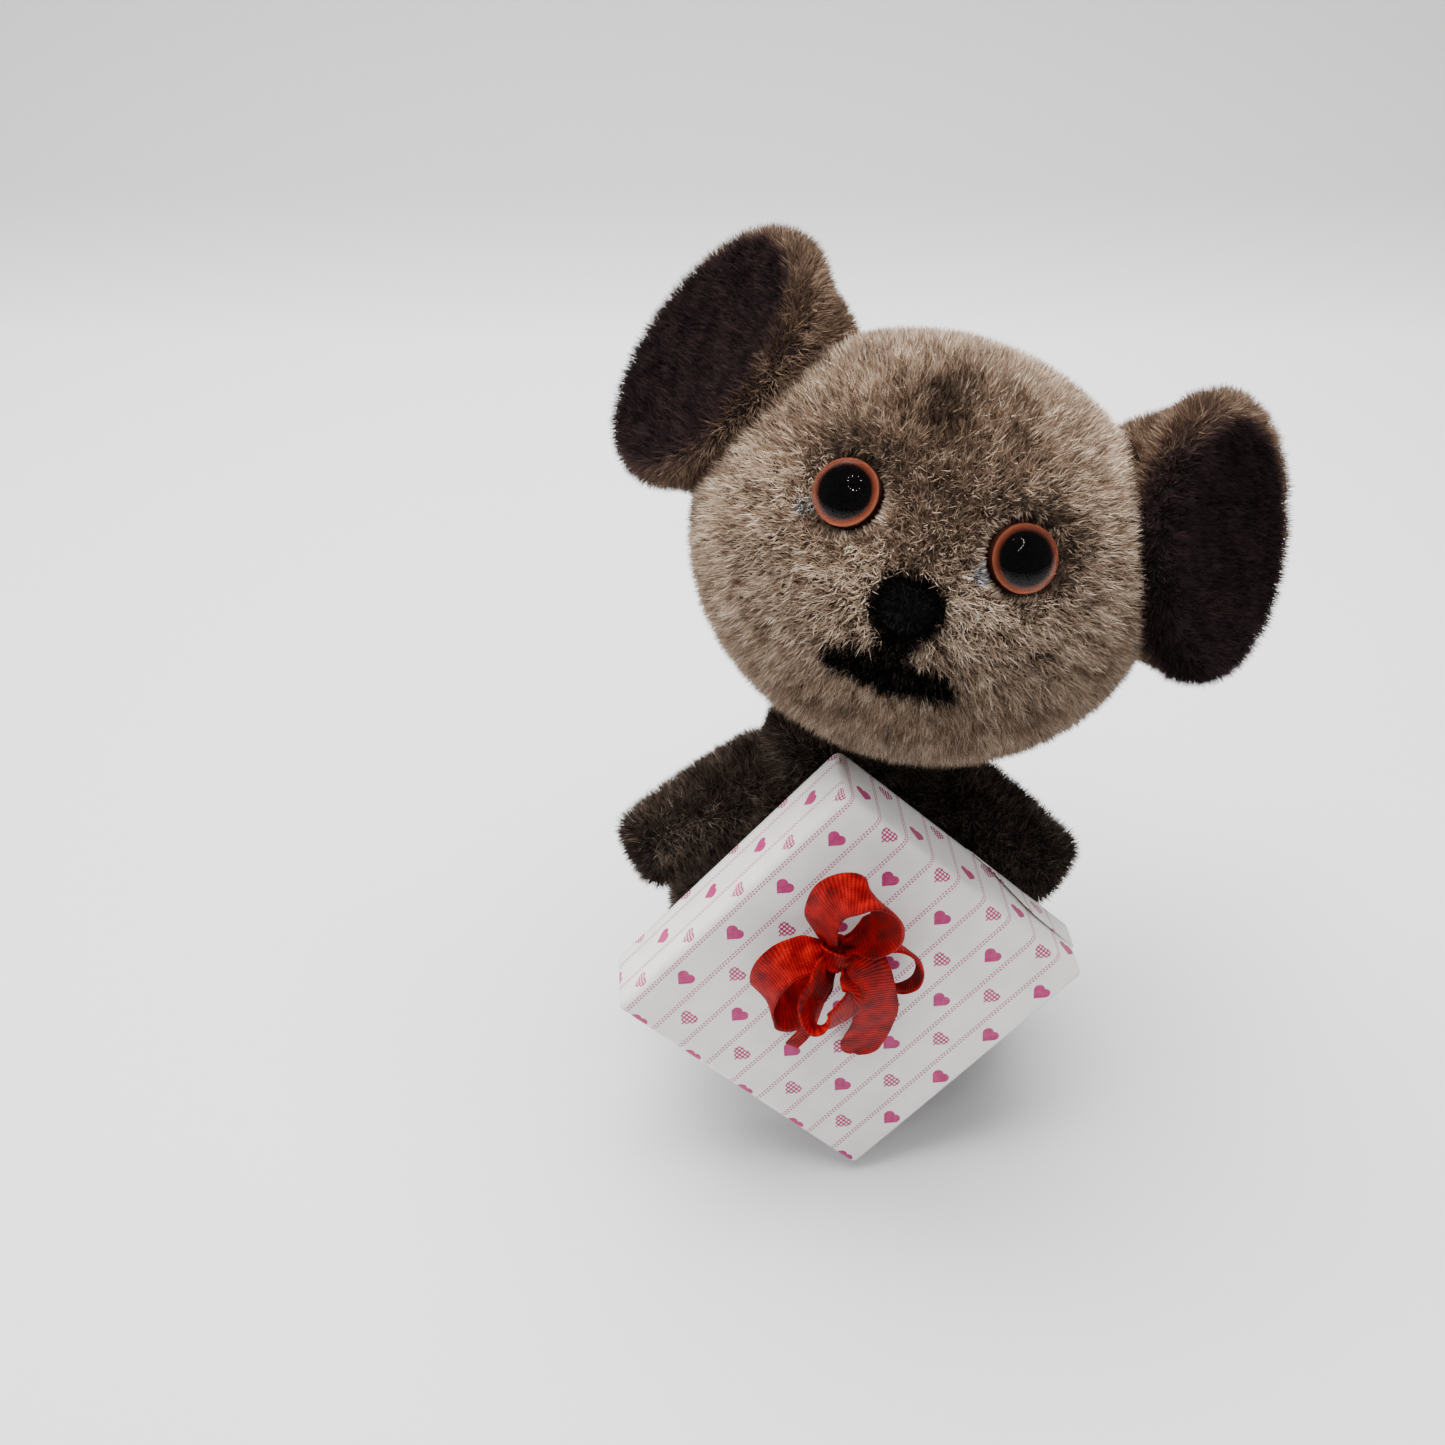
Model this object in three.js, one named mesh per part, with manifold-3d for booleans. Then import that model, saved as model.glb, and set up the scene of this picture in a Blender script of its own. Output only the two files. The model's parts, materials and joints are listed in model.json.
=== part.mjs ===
// Flocked clockwork mouse that holds a wrapped gift box and rocks its head when wound.
// Millimetres, +Z up, the mouse looks towards -Y and stands on Z = 0.
import * as THREE from 'three';
import { mergeVertices } from 'three/addons/utils/BufferGeometryUtils.js';
import Module from 'manifold-3d';

const wasm = await Module();
wasm.setup();

// ---------------------------------------------------------------- driving dimensions
const GAP = 0.3; // clearance kept between touching pieces

// The whole toy is moved by this much, so that its box is centred on the origin.
const ORIGIN_SHIFT = new THREE.Vector3(-9.61, 3.47, 0);

const HEAD = { rx: 24.0, ry: 21.0, rz: 21.4, wall: 1.8, splitY: 6, across: 24, down: 16 };
const PIVOT = new THREE.Vector3(0, -5.5, 46); // where the head rocks on the neck pin
const HEAD_ABOVE_PIVOT = 26;
const SWAY_ELEVATION = 47; // the neck pin slopes down to the back by this many degrees
const SWAY_AT_REST = 21; // the head stands at one end of its rocking motion
const HEAD_LOOKS_UP = 23.2;

const EAR = { flat: 12.2, rim: 2.5, dish: 1.3, at: new THREE.Vector3(27.7, 2.9, 11.2), out: 57.5, up: 17 };
const EYE = { r: 3.4, azimuth: 25.5, elevation: 14, dome: 2.3 };
const NOSE = { r: 2.7, at: new THREE.Vector3(0, -22.4, -1.9) };
const MUZZLE = { rx: 10.5, ry: 5.2, rz: 8.0, at: new THREE.Vector3(0, -16.6, -6.0) };

// Body profile: radius across X at each height; the depth is BODY_DEPTH of that.
const BODY_PROFILE = [
  [3, 16.5], [8, 19.2], [14, 20.2], [22, 20.4], [28, 19.4],
  [34, 16.6], [39, 13.0], [42.5, 10.2], [45, 9.4], [48.4, 8.8],
];
const BODY_DEPTH = 0.78;
const BODY_WALL = 1.5;
const BODY_LEAN = -0.12; // the body leans forward by this much for each mm of height

const BOX = { side: 37, depth: 9.36, card: 0.6, skirt: 8.9, yaw: 3.0, lean: 7.55, roll: 2.5 };
const BOX_FACE = new THREE.Vector3(-0.7, -28.6, 27.1); // middle of the lid's face

const MODULE = 0.45; // of every gear
const TEETH = { great: 36, secondPinion: 9, second: 28, crankPinion: 8, governor: 26, escapePinion: 8 };
const PLATE = { front: -5.6, rear: 6.0, thick: 1.0 };
const SCREWS_Y = [-2.9, 4.4]; // the base screws hold the feet of the two frame plates

// ---------------------------------------------------------------- materials
const looks = {
  flockBrown: ['#7a6453', 0.95, 0],
  flockDark: ['#3c322b', 0.95, 0],
  flockEar: ['#33272a', 0.95, 0],
  flockBlack: ['#0b0a0a', 0.95, 0],
  glass: ['#1a0f0b', 0.03, 0],
  iris: ['#a2532b', 0.35, 0],
  steel: ['#9a9da1', 0.35, 0.9],
  brass: ['#b8934a', 0.35, 0.9],
  blued: ['#39404f', 0.4, 0.9],
  tin: ['#a9abad', 0.4, 0.9],
  plastic: ['#2a2522', 0.6, 0],
  paper: ['#eeebe6', 0.75, 0],
  ribbon: ['#c4120f', 0.5, 0],
};

function material(look) {
  const [color, roughness, metalness] = looks[look];
  return new THREE.MeshStandardMaterial({ color, roughness, metalness });
}

// ---------------------------------------------------------------- solids
const rad = THREE.MathUtils.degToRad;

function solid(geometry) {
  const g = geometry.clone();
  g.deleteAttribute('normal');
  g.deleteAttribute('uv');
  const merged = mergeVertices(g, 1e-4);
  const vertProperties = new Float32Array(merged.attributes.position.array);
  const triVerts = new Uint32Array(merged.index.array);
  return new wasm.Manifold(new wasm.Mesh({ numProp: 3, vertProperties, triVerts }));
}

function geometryOf(manifold) {
  const mesh = manifold.getMesh();
  const g = new THREE.BufferGeometry();
  g.setAttribute('position', new THREE.BufferAttribute(mesh.vertProperties, 3));
  g.setIndex(new THREE.BufferAttribute(mesh.triVerts, 1));
  return g;
}

const cut = (a, ...tools) => geometryOf(tools.reduce((m, t) => m.subtract(solid(t)), solid(a)));
const join = (a, ...others) => geometryOf(others.reduce((m, t) => m.add(solid(t)), solid(a)));
const keep = (a, b) => geometryOf(solid(a).intersect(solid(b)));

function node(group, name, geometry, look) {
  const mesh = new THREE.Mesh(geometry, material(look));
  mesh.name = name;
  group.add(mesh);
  return mesh;
}

/** A closed ellipsoid. */
function ellipsoid(rx, ry, rz, across = 30, down = 20) {
  const g = new THREE.SphereGeometry(1, across, down);
  g.rotateX(Math.PI / 2);
  g.scale(rx, ry, rz);
  return g;
}

/** A box between two corners. */
function slab(low, high) {
  const g = new THREE.BoxGeometry(high[0] - low[0], high[1] - low[1], high[2] - low[2]);
  g.translate((low[0] + high[0]) / 2, (low[1] + high[1]) / 2, (low[2] + high[2]) / 2);
  return g;
}

/** A rod of radius r from one point to another. */
function rod(from, to, r, sides = 16, rEnd = r) {
  const along = new THREE.Vector3().subVectors(to, from);
  const g = new THREE.CylinderGeometry(rEnd, r, along.length(), sides);
  g.translate(0, along.length() / 2, 0);
  const turn = new THREE.Quaternion().setFromUnitVectors(new THREE.Vector3(0, 1, 0), along.normalize());
  g.applyQuaternion(turn);
  g.translate(from.x, from.y, from.z);
  return g;
}

/** A rod along Y at (x, z). */
const shaft = (x, z, r, y0, y1, sides = 16) =>
  rod(new THREE.Vector3(x, y0, z), new THREE.Vector3(x, y1, z), r, sides);

/** A closed profile [radius, height] turned about a direction at a place. */
function turned(profile, sides, at, direction) {
  const g = new THREE.LatheGeometry(profile.map(([r, h]) => new THREE.Vector2(r, h)), sides);
  const up = direction.clone().normalize();
  g.applyQuaternion(new THREE.Quaternion().setFromUnitVectors(new THREE.Vector3(0, 1, 0), up));
  g.translate(at.x, at.y, at.z);
  return g;
}

/** A flat ring or washer about a direction, from h0 to h1 along it. */
const ring = (rIn, rOut, h0, h1, sides, at, direction) =>
  turned([[rIn, h0], [rOut, h0], [rOut, h1], [rIn, h1], [rIn, h0]], sides, at, direction);

/** A shape drawn in X and Z, made into a plate between two places along Y. */
function plate(shape, yFront, yRear, curveSegments = 6) {
  const depth = yRear - yFront;
  const g = new THREE.ExtrudeGeometry(shape, { depth, bevelEnabled: false, curveSegments });
  g.rotateX(Math.PI / 2);
  g.translate(0, yRear, 0);
  return g;
}

/** A strip of constant width and thickness along a smooth curve; across gives its width direction. */
function ribbon(points, across, width, thick, steps) {
  const curve = new THREE.CatmullRomCurve3(points);
  const side = across.clone().normalize();
  const position = [];
  for (let i = 0; i <= steps; i++) {
    const p = curve.getPoint(i / steps);
    const t = curve.getTangent(i / steps);
    const w = side.clone().addScaledVector(t, -side.dot(t)).normalize().multiplyScalar(width / 2);
    const n = new THREE.Vector3().crossVectors(t, w).normalize().multiplyScalar(thick / 2);
    for (const [a, b] of [[-1, -1], [1, -1], [1, 1], [-1, 1]]) {
      position.push(...p.clone().addScaledVector(w, a).addScaledVector(n, b).toArray());
    }
  }
  const index = [0, 2, 1, 0, 3, 2];
  for (let i = 0; i < steps; i++) {
    for (let k = 0; k < 4; k++) {
      const a = 4 * i + k;
      const b = 4 * i + ((k + 1) % 4);
      index.push(a, b, b + 4, a, b + 4, a + 4);
    }
  }
  const e = 4 * steps;
  index.push(e, e + 1, e + 2, e, e + 2, e + 3);
  const g = new THREE.BufferGeometry();
  g.setAttribute('position', new THREE.Float32BufferAttribute(position, 3));
  g.setIndex(index);
  return g;
}

// ---------------------------------------------------------------- body
function bodyProfile(offset) {
  const wall = BODY_PROFILE.map(([z, r]) => [r + offset, z]);
  return [[0, wall[0][1]], ...wall, [0, wall.at(-1)[1]]];
}

/** The body's outside, grown or shrunk by offset, upright and not yet leaning. */
function bodyForm(offset, sides, low = 0, high = 0) {
  const profile = bodyProfile(offset);
  profile[0][1] -= low;
  profile[1][1] -= low;
  profile.at(-1)[1] += high;
  profile.at(-2)[1] += high;
  const g = turned(profile, sides, new THREE.Vector3(), new THREE.Vector3(0, 1, 0));
  g.rotateX(Math.PI / 2);
  const flat = (BODY_PROFILE[3][1] * BODY_DEPTH + offset) / (BODY_PROFILE[3][1] + offset);
  g.scale(1, flat, 1);
  return g;
}

const lean = new THREE.Matrix4().set(1, 0, 0, 0, 0, 1, BODY_LEAN, 0, 0, 0, 1, 0, 0, 0, 0, 1);

const A = { x: 0, z: 23.5 }; // winding arbor

function makeBody(group) {
  const outer = bodyForm(0, 28);
  const hollow = bodyForm(-BODY_WALL, 20, 1, 1);
  const shell = cut(outer, hollow);
  const keyHoleY = -BODY_LEAN * A.z;
  const front = keep(shell, slab([-40, -40, 0], [40, -GAP / 2, 60]));
  const back = keep(shell, slab([-40, GAP / 2, 0], [40, 40, 60]));
  const keyHole = shaft(A.x, A.z, 2.6, keyHoleY, keyHoleY + 30);
  node(group, 'body_front_shell', front.applyMatrix4(lean), 'flockDark');
  node(group, 'body_back_shell', cut(back, keyHole).applyMatrix4(lean), 'flockDark');

  const base = new THREE.CylinderGeometry(1, 1, 0.8, 32);
  base.rotateX(Math.PI / 2);
  base.scale(14.6, 10.9, 1);
  base.translate(0, -0.4, 3.4);
  const holes = SCREWS_Y.map((y) => rod(new THREE.Vector3(0, y, 2), new THREE.Vector3(0, y, 5), 0.75, 12));
  node(group, 'base_plate', cut(base, ...holes), 'tin');
  ['base_screw_front', 'base_screw_rear'].forEach((name, i) => {
    const at = new THREE.Vector3(0, SCREWS_Y[i], 0);
    const screw = [[0, 1.9], [1.5, 1.9], [1.5, 2.7], [0.6, 2.7], [0.6, 5.8], [0, 5.8]];
    node(group, name, turned(screw, 12, at, new THREE.Vector3(0, 0, 1)), 'steel');
  });

  const collar = ring(2.6, 4.4, 0, 0.9, 20, new THREE.Vector3(A.x, 13.8, A.z), new THREE.Vector3(0, 1, 0));
  node(group, 'key_hole_collar', collar, 'tin');
}

function makeFeet(group) {
  const clear = bodyForm(GAP + 0.1, 28, GAP + 0.1, 0).applyMatrix4(lean);
  for (const [name, side] of [['right_foot', -1], ['left_foot', 1]]) {
    const pad = ellipsoid(8.2, 12.0, 8.4, 24, 16);
    pad.translate(side * 10.0, -3.6, 1.2);
    const standing = keep(pad, slab([-30, -30, 0], [30, 30, 20]));
    node(group, name, cut(standing, clear), 'flockDark');
  }
}

/** An arm: a tapered stub with a flat, soft-edged end, seated on the body's side. */
function makeArms(group) {
  const clear = bodyForm(GAP, 28).applyMatrix4(lean);
  const ends = [
    ['right_arm', new THREE.Vector3(-8.5, -4.5, 38.5), new THREE.Vector3(-24.8, -13, 33.8)],
    ['left_arm', new THREE.Vector3(8.5, -4.5, 38.0), new THREE.Vector3(23.8, -13, 30.6)],
  ];
  for (const [name, shoulder, hand] of ends) {
    const along = new THREE.Vector3().subVectors(hand, shoulder);
    const long = along.length();
    const skin = [[5.6, 0], [5.2, long * 0.45], [4.2, long * 0.8], [3.7, long - 0.9], [2.9, long]];
    const profile = [[0, 0], ...skin, [0, long]];
    node(group, name, cut(turned(profile, 18, shoulder, along), clear), 'flockDark');
  }
}

// ---------------------------------------------------------------- neck
const swayAxis = new THREE.Vector3(0, Math.cos(rad(SWAY_ELEVATION)), -Math.sin(rad(SWAY_ELEVATION)));
const sway = new THREE.Quaternion().setFromAxisAngle(swayAxis, rad(SWAY_AT_REST));
const lookUp = new THREE.Quaternion().setFromAxisAngle(new THREE.Vector3(1, 0, 0), rad(-HEAD_LOOKS_UP));
const headUp = new THREE.Vector3(0, 0, 1).applyQuaternion(sway);
const headCentre = PIVOT.clone().addScaledVector(headUp, HEAD_ABOVE_PIVOT);
const sideArm = new THREE.Vector3(1, 0, 0).applyQuaternion(sway);
const SIDE_ARM = 4.6;
const onPin = (s) => PIVOT.clone().addScaledVector(swayAxis, -s);

function makeNeck(group) {
  const disc = rod(new THREE.Vector3(0, -5.1, 41.3), new THREE.Vector3(0, -5.1, 42.5), 6.6, 24);
  disc.translate(0, 5.1, 0).scale(1, 0.76, 1).translate(0, -5.1, 0);
  const boss = rod(onPin(-8.2), onPin(-2.6), 1.9, 14);
  const rodSlot = slab([2.6, -9.9, 40], [7, -2.9, 45]);
  const pinHole = rod(onPin(-9), onPin(0), 0.9, 14);
  node(group, 'neck_plate', cut(join(disc, boss), rodSlot, pinHole), 'steel');
  const pinProfile = [[0, -7.8], [0.8, -7.8], [0.8, 2.9], [1.5, 2.9], [1.5, 3.6], [0, 3.6]];
  const pin = turned(pinProfile, 14, PIVOT, swayAxis.clone().negate());
  node(group, 'neck_pin', pin, 'steel');
}

/** The bearing, stem, flange and side arm that carry the head on the neck pin. */
function makeHeadBearing(group) {
  const sleeve = rod(onPin(-2.3), onPin(2.6), 2.0, 12);
  const raised = (s) => PIVOT.clone().addScaledVector(headUp, s);
  const outAlongArm = (s) => PIVOT.clone().addScaledVector(sideArm, s);
  const stem = rod(PIVOT, raised(6.5), 1.7, 10);
  const flange = rod(raised(4.9), raised(6.3), 7.4, 20);
  const arm = rod(outAlongArm(1.2), outAlongArm(SIDE_ARM + 0.8), 0.8, 8);
  const tip = outAlongArm(SIDE_ARM);
  const wrist = rod(tip, tip.clone().addScaledVector(swayAxis, -2.2), 0.5, 10);
  const bore = rod(onPin(-4), onPin(2.8), 0.9, 12);
  const pinHead = rod(onPin(2.6), onPin(4.1), 1.9, 12);
  node(group, 'head_bearing', cut(join(sleeve, stem, flange, arm, wrist), bore, pinHead), 'brass');
}

/** The link from the crank up to the head's side arm. */
const linkTop = PIVOT.clone().addScaledVector(sideArm, SIDE_ARM).addScaledVector(swayAxis, -1.7);
const linkBottom = new THREE.Vector3(0, -10.9, 11.4);

function makeLink(group) {
  const eyeTop = ring(0.62, 1.3, -0.45, 0.45, 12, linkTop, swayAxis);
  const eyeBottom = ring(0.62, 1.4, -0.4, 0.4, 12, linkBottom, new THREE.Vector3(0, 1, 0));
  const along = new THREE.Vector3().subVectors(linkBottom, linkTop).normalize();
  const from = linkTop.clone().addScaledVector(along, 1.0);
  const to = linkBottom.clone().addScaledVector(along, -1.0);
  node(group, 'head_link', join(eyeTop, eyeBottom, rod(from, to, 0.42, 10)), 'steel');
}

// ---------------------------------------------------------------- head, in its own upright frame
function onHead(azimuth, elevation, proud = 0) {
  const a = rad(azimuth);
  const e = rad(elevation);
  const u = new THREE.Vector3(Math.cos(e) * Math.sin(a), -Math.cos(e) * Math.cos(a), Math.sin(e));
  const r = 1 / Math.hypot(u.x / HEAD.rx, u.y / HEAD.ry, u.z / HEAD.rz);
  return u.multiplyScalar(r + proud);
}

function headNormal(p) {
  return new THREE.Vector3(p.x / HEAD.rx ** 2, p.y / HEAD.ry ** 2, p.z / HEAD.rz ** 2).normalize();
}

function headForm(offset, across = HEAD.across, down = HEAD.down) {
  return ellipsoid(HEAD.rx + offset, HEAD.ry + offset, HEAD.rz + offset, across, down);
}

/** The head with its muzzle, grown by offset. */
function headAndMuzzle(offset) {
  const muzzle = ellipsoid(MUZZLE.rx + offset, MUZZLE.ry + offset, MUZZLE.rz + offset, 14, 10);
  muzzle.translate(...MUZZLE.at.toArray());
  return join(headForm(offset), muzzle);
}

const earNames = [['right_ear', -1], ['left_ear', 1]];
const sideNames = [['right', -1], ['left', 1]];

function earFrame(side) {
  const at = EAR.at.clone().multiply(new THREE.Vector3(side, 1, 1));
  const out = rad(EAR.out);
  const up = rad(EAR.up);
  const facing = new THREE.Vector3(side * Math.sin(out), -Math.cos(out), Math.tan(up)).normalize();
  return { at, facing };
}

function makeHead(group) {
  const neckHole = new THREE.Vector3(0, 0, -1).applyQuaternion(lookUp.clone().invert());
  const shell = cut(
    headAndMuzzle(0),
    headForm(-HEAD.wall, 16, 10),
    rod(neckHole.clone().multiplyScalar(16), neckHole.clone().multiplyScalar(30), 7.8, 24),
  );
  const eyeHoles = sideNames.map(([, side]) => {
    const p = onHead(side * EYE.azimuth, EYE.elevation);
    const n = headNormal(p);
    return rod(p.clone().addScaledVector(n, -5), p.clone().addScaledVector(n, 4), EYE.r + GAP, 16);
  });
  const pegHoles = sideNames.map(([, side]) => {
    const { at } = earFrame(side);
    return rod(at.clone().multiplyScalar(0.5), at, 1.5, 12);
  });
  const noseHole = rod(NOSE.at.clone().multiplyScalar(0.6), NOSE.at.clone().multiplyScalar(1.2), 1.3, 12);
  const front = keep(shell, slab([-40, -40, -40], [40, HEAD.splitY - GAP / 2, 40]));
  const back = keep(shell, slab([-40, HEAD.splitY + GAP / 2, -40], [40, 40, 40]));
  node(group, 'head_front_shell', cut(front, ...eyeHoles, ...pegHoles, noseHole), 'flockBrown');
  node(group, 'head_back_shell', back, 'flockBrown');

  const peg = rod(NOSE.at.clone().multiplyScalar(0.84), NOSE.at, 1.0, 12);
  const ball = ellipsoid(NOSE.r + 0.2, NOSE.r, NOSE.r, 14, 10);
  ball.translate(...NOSE.at.toArray());
  node(group, 'nose', join(cut(ball, headAndMuzzle(GAP)), peg), 'flockBlack');
}

/** The thick root between an ear's dish and the head. */
function earRoot(at, facing) {
  const back = turned([[0, -1.8], [13.4, -1.8], [13.4, -1.2], [0, -1.2]], 18, at, facing);
  const inHead = at.clone().multiplyScalar(0.66);
  const foot = turned([[0, -0.5], [11, -0.5], [11, 0.5], [0, 0.5]], 18, inHead, at);
  return geometryOf(wasm.Manifold.hull([solid(back), solid(foot)]));
}

function makeEars(group) {
  const seat = headForm(GAP);
  for (const [name, side] of earNames) {
    const { at, facing } = earFrame(side);
    const rim = [];
    for (let k = 0; k <= 5; k++) {
      const t = rad(75 - k * 33);
      rim.push([EAR.flat + EAR.rim * Math.cos(t), EAR.rim * Math.sin(t)]);
    }
    const back = [[0, -EAR.rim], [EAR.flat * 0.7, -EAR.rim]];
    const dish = [[EAR.flat * 0.6, EAR.rim - 0.7 * EAR.dish], [0, EAR.rim - EAR.dish]];
    const profile = [...back, ...rim.reverse(), ...dish];
    const disc = turned(profile, 22, at, facing);
    const peg = rod(at.clone().multiplyScalar(0.68), at.clone().multiplyScalar(0.9), 1.2, 12);
    node(group, name, join(cut(join(disc, earRoot(at, facing)), seat), peg), 'flockEar');
  }
}

function makeEyes(group) {
  for (const [word, side] of sideNames) {
    const p = onHead(side * EYE.azimuth, EYE.elevation);
    const n = headNormal(p);
    const dome = [[0, 0.35], [EYE.r, 0.35]];
    for (let k = 1; k < 5; k++) {
      const t = (k * Math.PI) / 10;
      dome.push([EYE.r * Math.cos(t), 0.35 + EYE.dome * Math.sin(t)]);
    }
    dome.push([0, 0.35 + EYE.dome]);
    node(group, `${word}_eye_glass`, turned(dome, 16, p, n), 'glass');
    const cup = [[0, -1.7], [1.1, -1.7], [1.1, -1.5], [EYE.r, -1.5], [EYE.r, 0.3], [0, 0.3]];
    node(group, `${word}_eye_iris`, turned(cup, 16, p, n), 'iris');
    node(group, `${word}_eye_washer`, ring(1.3, 4.9, -3.6, -3.0, 16, p, n), 'steel');
  }
}

// ---------------------------------------------------------------- clockwork
const radiusOf = (teeth) => (teeth * MODULE) / 2;
const meshDistance = (a, b) => radiusOf(a) + radiusOf(b);
const meshB = meshDistance(TEETH.great, TEETH.secondPinion);
const meshC = meshDistance(TEETH.second, TEETH.crankPinion);
const meshD = meshDistance(TEETH.governor, TEETH.escapePinion);
const B = { x: -7.2, z: A.z - Math.sqrt(meshB ** 2 - 7.2 ** 2) }; // second arbor
const C = { x: 0, z: B.z - Math.sqrt(meshC ** 2 - 7.2 ** 2) }; // crank arbor
const D = { x: C.x + meshD * Math.cos(rad(20)), z: C.z + meshD * Math.sin(rad(20)) }; // escape arbor
const E = { x: D.x + 4.3 * Math.cos(rad(-52)), z: D.z + 4.3 * Math.sin(rad(-52)) }; // verge staff
const PILLARS = [[-6.6, 30.2], [6.6, 30.2], [-10, 8.6], [10, 8.6]];
const towards = (from, to) => Math.atan2(to.z - from.z, to.x - from.x);

/** A gear of straight-sided teeth; a tooth (or, for a pinion, a gap) points at the angle given. */
function gear(teeth, at, pointing, gapFirst, bore, y0, y1) {
  const pitch = (2 * Math.PI) / teeth;
  const root = radiusOf(teeth) - 1.05 * MODULE;
  const tip = radiusOf(teeth) + 0.75 * MODULE;
  const start = pointing + (gapFirst ? pitch / 2 : 0);
  const shape = new THREE.Shape();
  for (let i = 0; i < teeth; i++) {
    for (const [turn, r] of [[-0.31, root], [-0.13, tip], [0.13, tip], [0.31, root]]) {
      const t = start + (i + turn) * pitch;
      const point = [r * Math.cos(t), r * Math.sin(t)];
      if (i === 0 && r === root && turn < 0) shape.moveTo(...point);
      else shape.lineTo(...point);
    }
  }
  shape.closePath();
  shape.holes.push(new THREE.Path().absarc(0, 0, bore, 0, 2 * Math.PI, true));
  return plate(shape, y0, y1).translate(at.x, 0, at.z);
}

/** A wheel of slanted ratchet teeth. */
function ratchet(teeth, at, rRoot, rTip, bore, y0, y1) {
  const shape = new THREE.Shape();
  for (let i = 0; i < teeth; i++) {
    const t = (2 * Math.PI * i) / teeth;
    const next = t + (2 * Math.PI * 0.92) / teeth;
    const tip = [rTip * Math.cos(t), rTip * Math.sin(t)];
    if (i === 0) shape.moveTo(...tip);
    else shape.lineTo(...tip);
    shape.lineTo(rRoot * Math.cos(next), rRoot * Math.sin(next));
  }
  shape.closePath();
  shape.holes.push(new THREE.Path().absarc(0, 0, bore, 0, 2 * Math.PI, true));
  return plate(shape, y0, y1).translate(at.x, 0, at.z);
}

function frameOutline(holes) {
  const shape = new THREE.Shape();
  const corners = [
    [-11.2, 7.4], [-9, 7.4], [-9, 4.1], [-6, 4.1], [-6, 7.4],
    [6, 7.4], [6, 4.1], [9, 4.1], [9, 7.4], [11.2, 7.4],
    [11.2, 16], [7.8, 31.4], [-7.8, 31.4], [-11.2, 16],
  ];
  corners.forEach(([x, z], i) => (i ? shape.lineTo(x, z) : shape.moveTo(x, z)));
  shape.closePath();
  for (const [x, z, r] of holes) shape.holes.push(new THREE.Path().absarc(x, z, r, 0, 2 * Math.PI, true));
  return shape;
}

function makeFrame(group) {
  const arbors = [[A.x, A.z, 1.0], [B.x, B.z, 0.7], [C.x, C.z, 0.85], [D.x, D.z, 0.6], [E.x, E.z, 0.6]];
  const screwed = PILLARS.map(([x, z]) => [x, z, 0.55]);
  const outline = frameOutline([...arbors, ...screwed]);
  const plates = [
    ['front_frame_plate', PLATE.front, PLATE.front, SCREWS_Y[0] + 1.5],
    ['rear_frame_plate', PLATE.rear, SCREWS_Y[1] - 1.5, PLATE.rear + PLATE.thick],
  ];
  plates.forEach(([name, y, footFront, footRear], i) => {
    const sheet = plate(outline, y, y + PLATE.thick, 5);
    const web = slab([-2.5, y, 4.1], [2.5, y + PLATE.thick, 8]);
    const foot = slab([-2.5, footFront, 4.1], [2.5, footRear, 5.0]);
    const hole = rod(new THREE.Vector3(0, SCREWS_Y[i], 3), new THREE.Vector3(0, SCREWS_Y[i], 6), 0.75, 12);
    node(group, name, cut(join(sheet, web, foot), hole), 'steel');
  });
  PILLARS.forEach(([x, z], i) => {
    const spigot = [[0, -6.0], [0.45, -6.0], [0.45, -4.45]];
    const waist = [[0.75, -4.45], [0.75, 5.85], [0.45, 5.85], [0.45, 7.4], [0, 7.4]];
    const at = new THREE.Vector3(x, 0, z);
    const pillar = turned([...spigot, ...waist], 10, at, new THREE.Vector3(0, 1, 0));
    node(group, `frame_pillar_${i + 1}`, pillar, 'steel');
  });
}

/** A plain arbor with thinner pivots that run in the frame plates. */
function arbor(at, r, pivot, y0 = PLATE.front + 0.2, y1 = PLATE.rear + PLATE.thick - 0.2) {
  const inner0 = PLATE.front + PLATE.thick + 0.1;
  const inner1 = PLATE.rear - 0.1;
  const near = [[0, y0], [pivot, y0], [pivot, inner0], [r, inner0]];
  const far = [[r, inner1], [pivot, inner1], [pivot, y1], [0, y1]];
  return turned([...near, ...far], 12, new THREE.Vector3(at.x, 0, at.z), new THREE.Vector3(0, 1, 0));
}

function makeWinding(group) {
  node(group, 'winding_arbor', shaft(A.x, A.z, 0.9, PLATE.front - 0.3, 21), 'steel');
  node(group, 'ratchet_wheel', ratchet(10, A, 2.2, 2.9, 1.0, -1.6, -0.8), 'brass');
  const barrel = ring(1.05, 1.9, 14.6, 22, 16, new THREE.Vector3(A.x, 0, A.z), new THREE.Vector3(0, 1, 0));
  const stop = shaft(A.x, A.z, 1.9, 21.6, 25);
  const wings = [-1, 1].map((s) => {
    const disc = new THREE.CylinderGeometry(4.6, 4.6, 1.3, 18);
    disc.rotateX(Math.PI / 2);
    disc.translate(A.x + s * 5.6, 27.6, A.z);
    return disc;
  });
  const eyes = [-1, 1].map((s) => {
    const disc = new THREE.CylinderGeometry(1.9, 1.9, 4, 12);
    disc.rotateX(Math.PI / 2);
    disc.translate(A.x + s * 6.0, 27.9, A.z);
    return disc;
  });
  const web = slab([A.x - 3, 23.6, A.z - 0.65], [A.x + 3, 29.2, A.z + 0.65]);
  const tilt = (g) => g.translate(-A.x, 0, -A.z).rotateY(rad(-25)).translate(A.x, 0, A.z);
  node(group, 'winding_key', tilt(cut(join(barrel, stop, web, ...wings), ...eyes)), 'brass');
}

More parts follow.
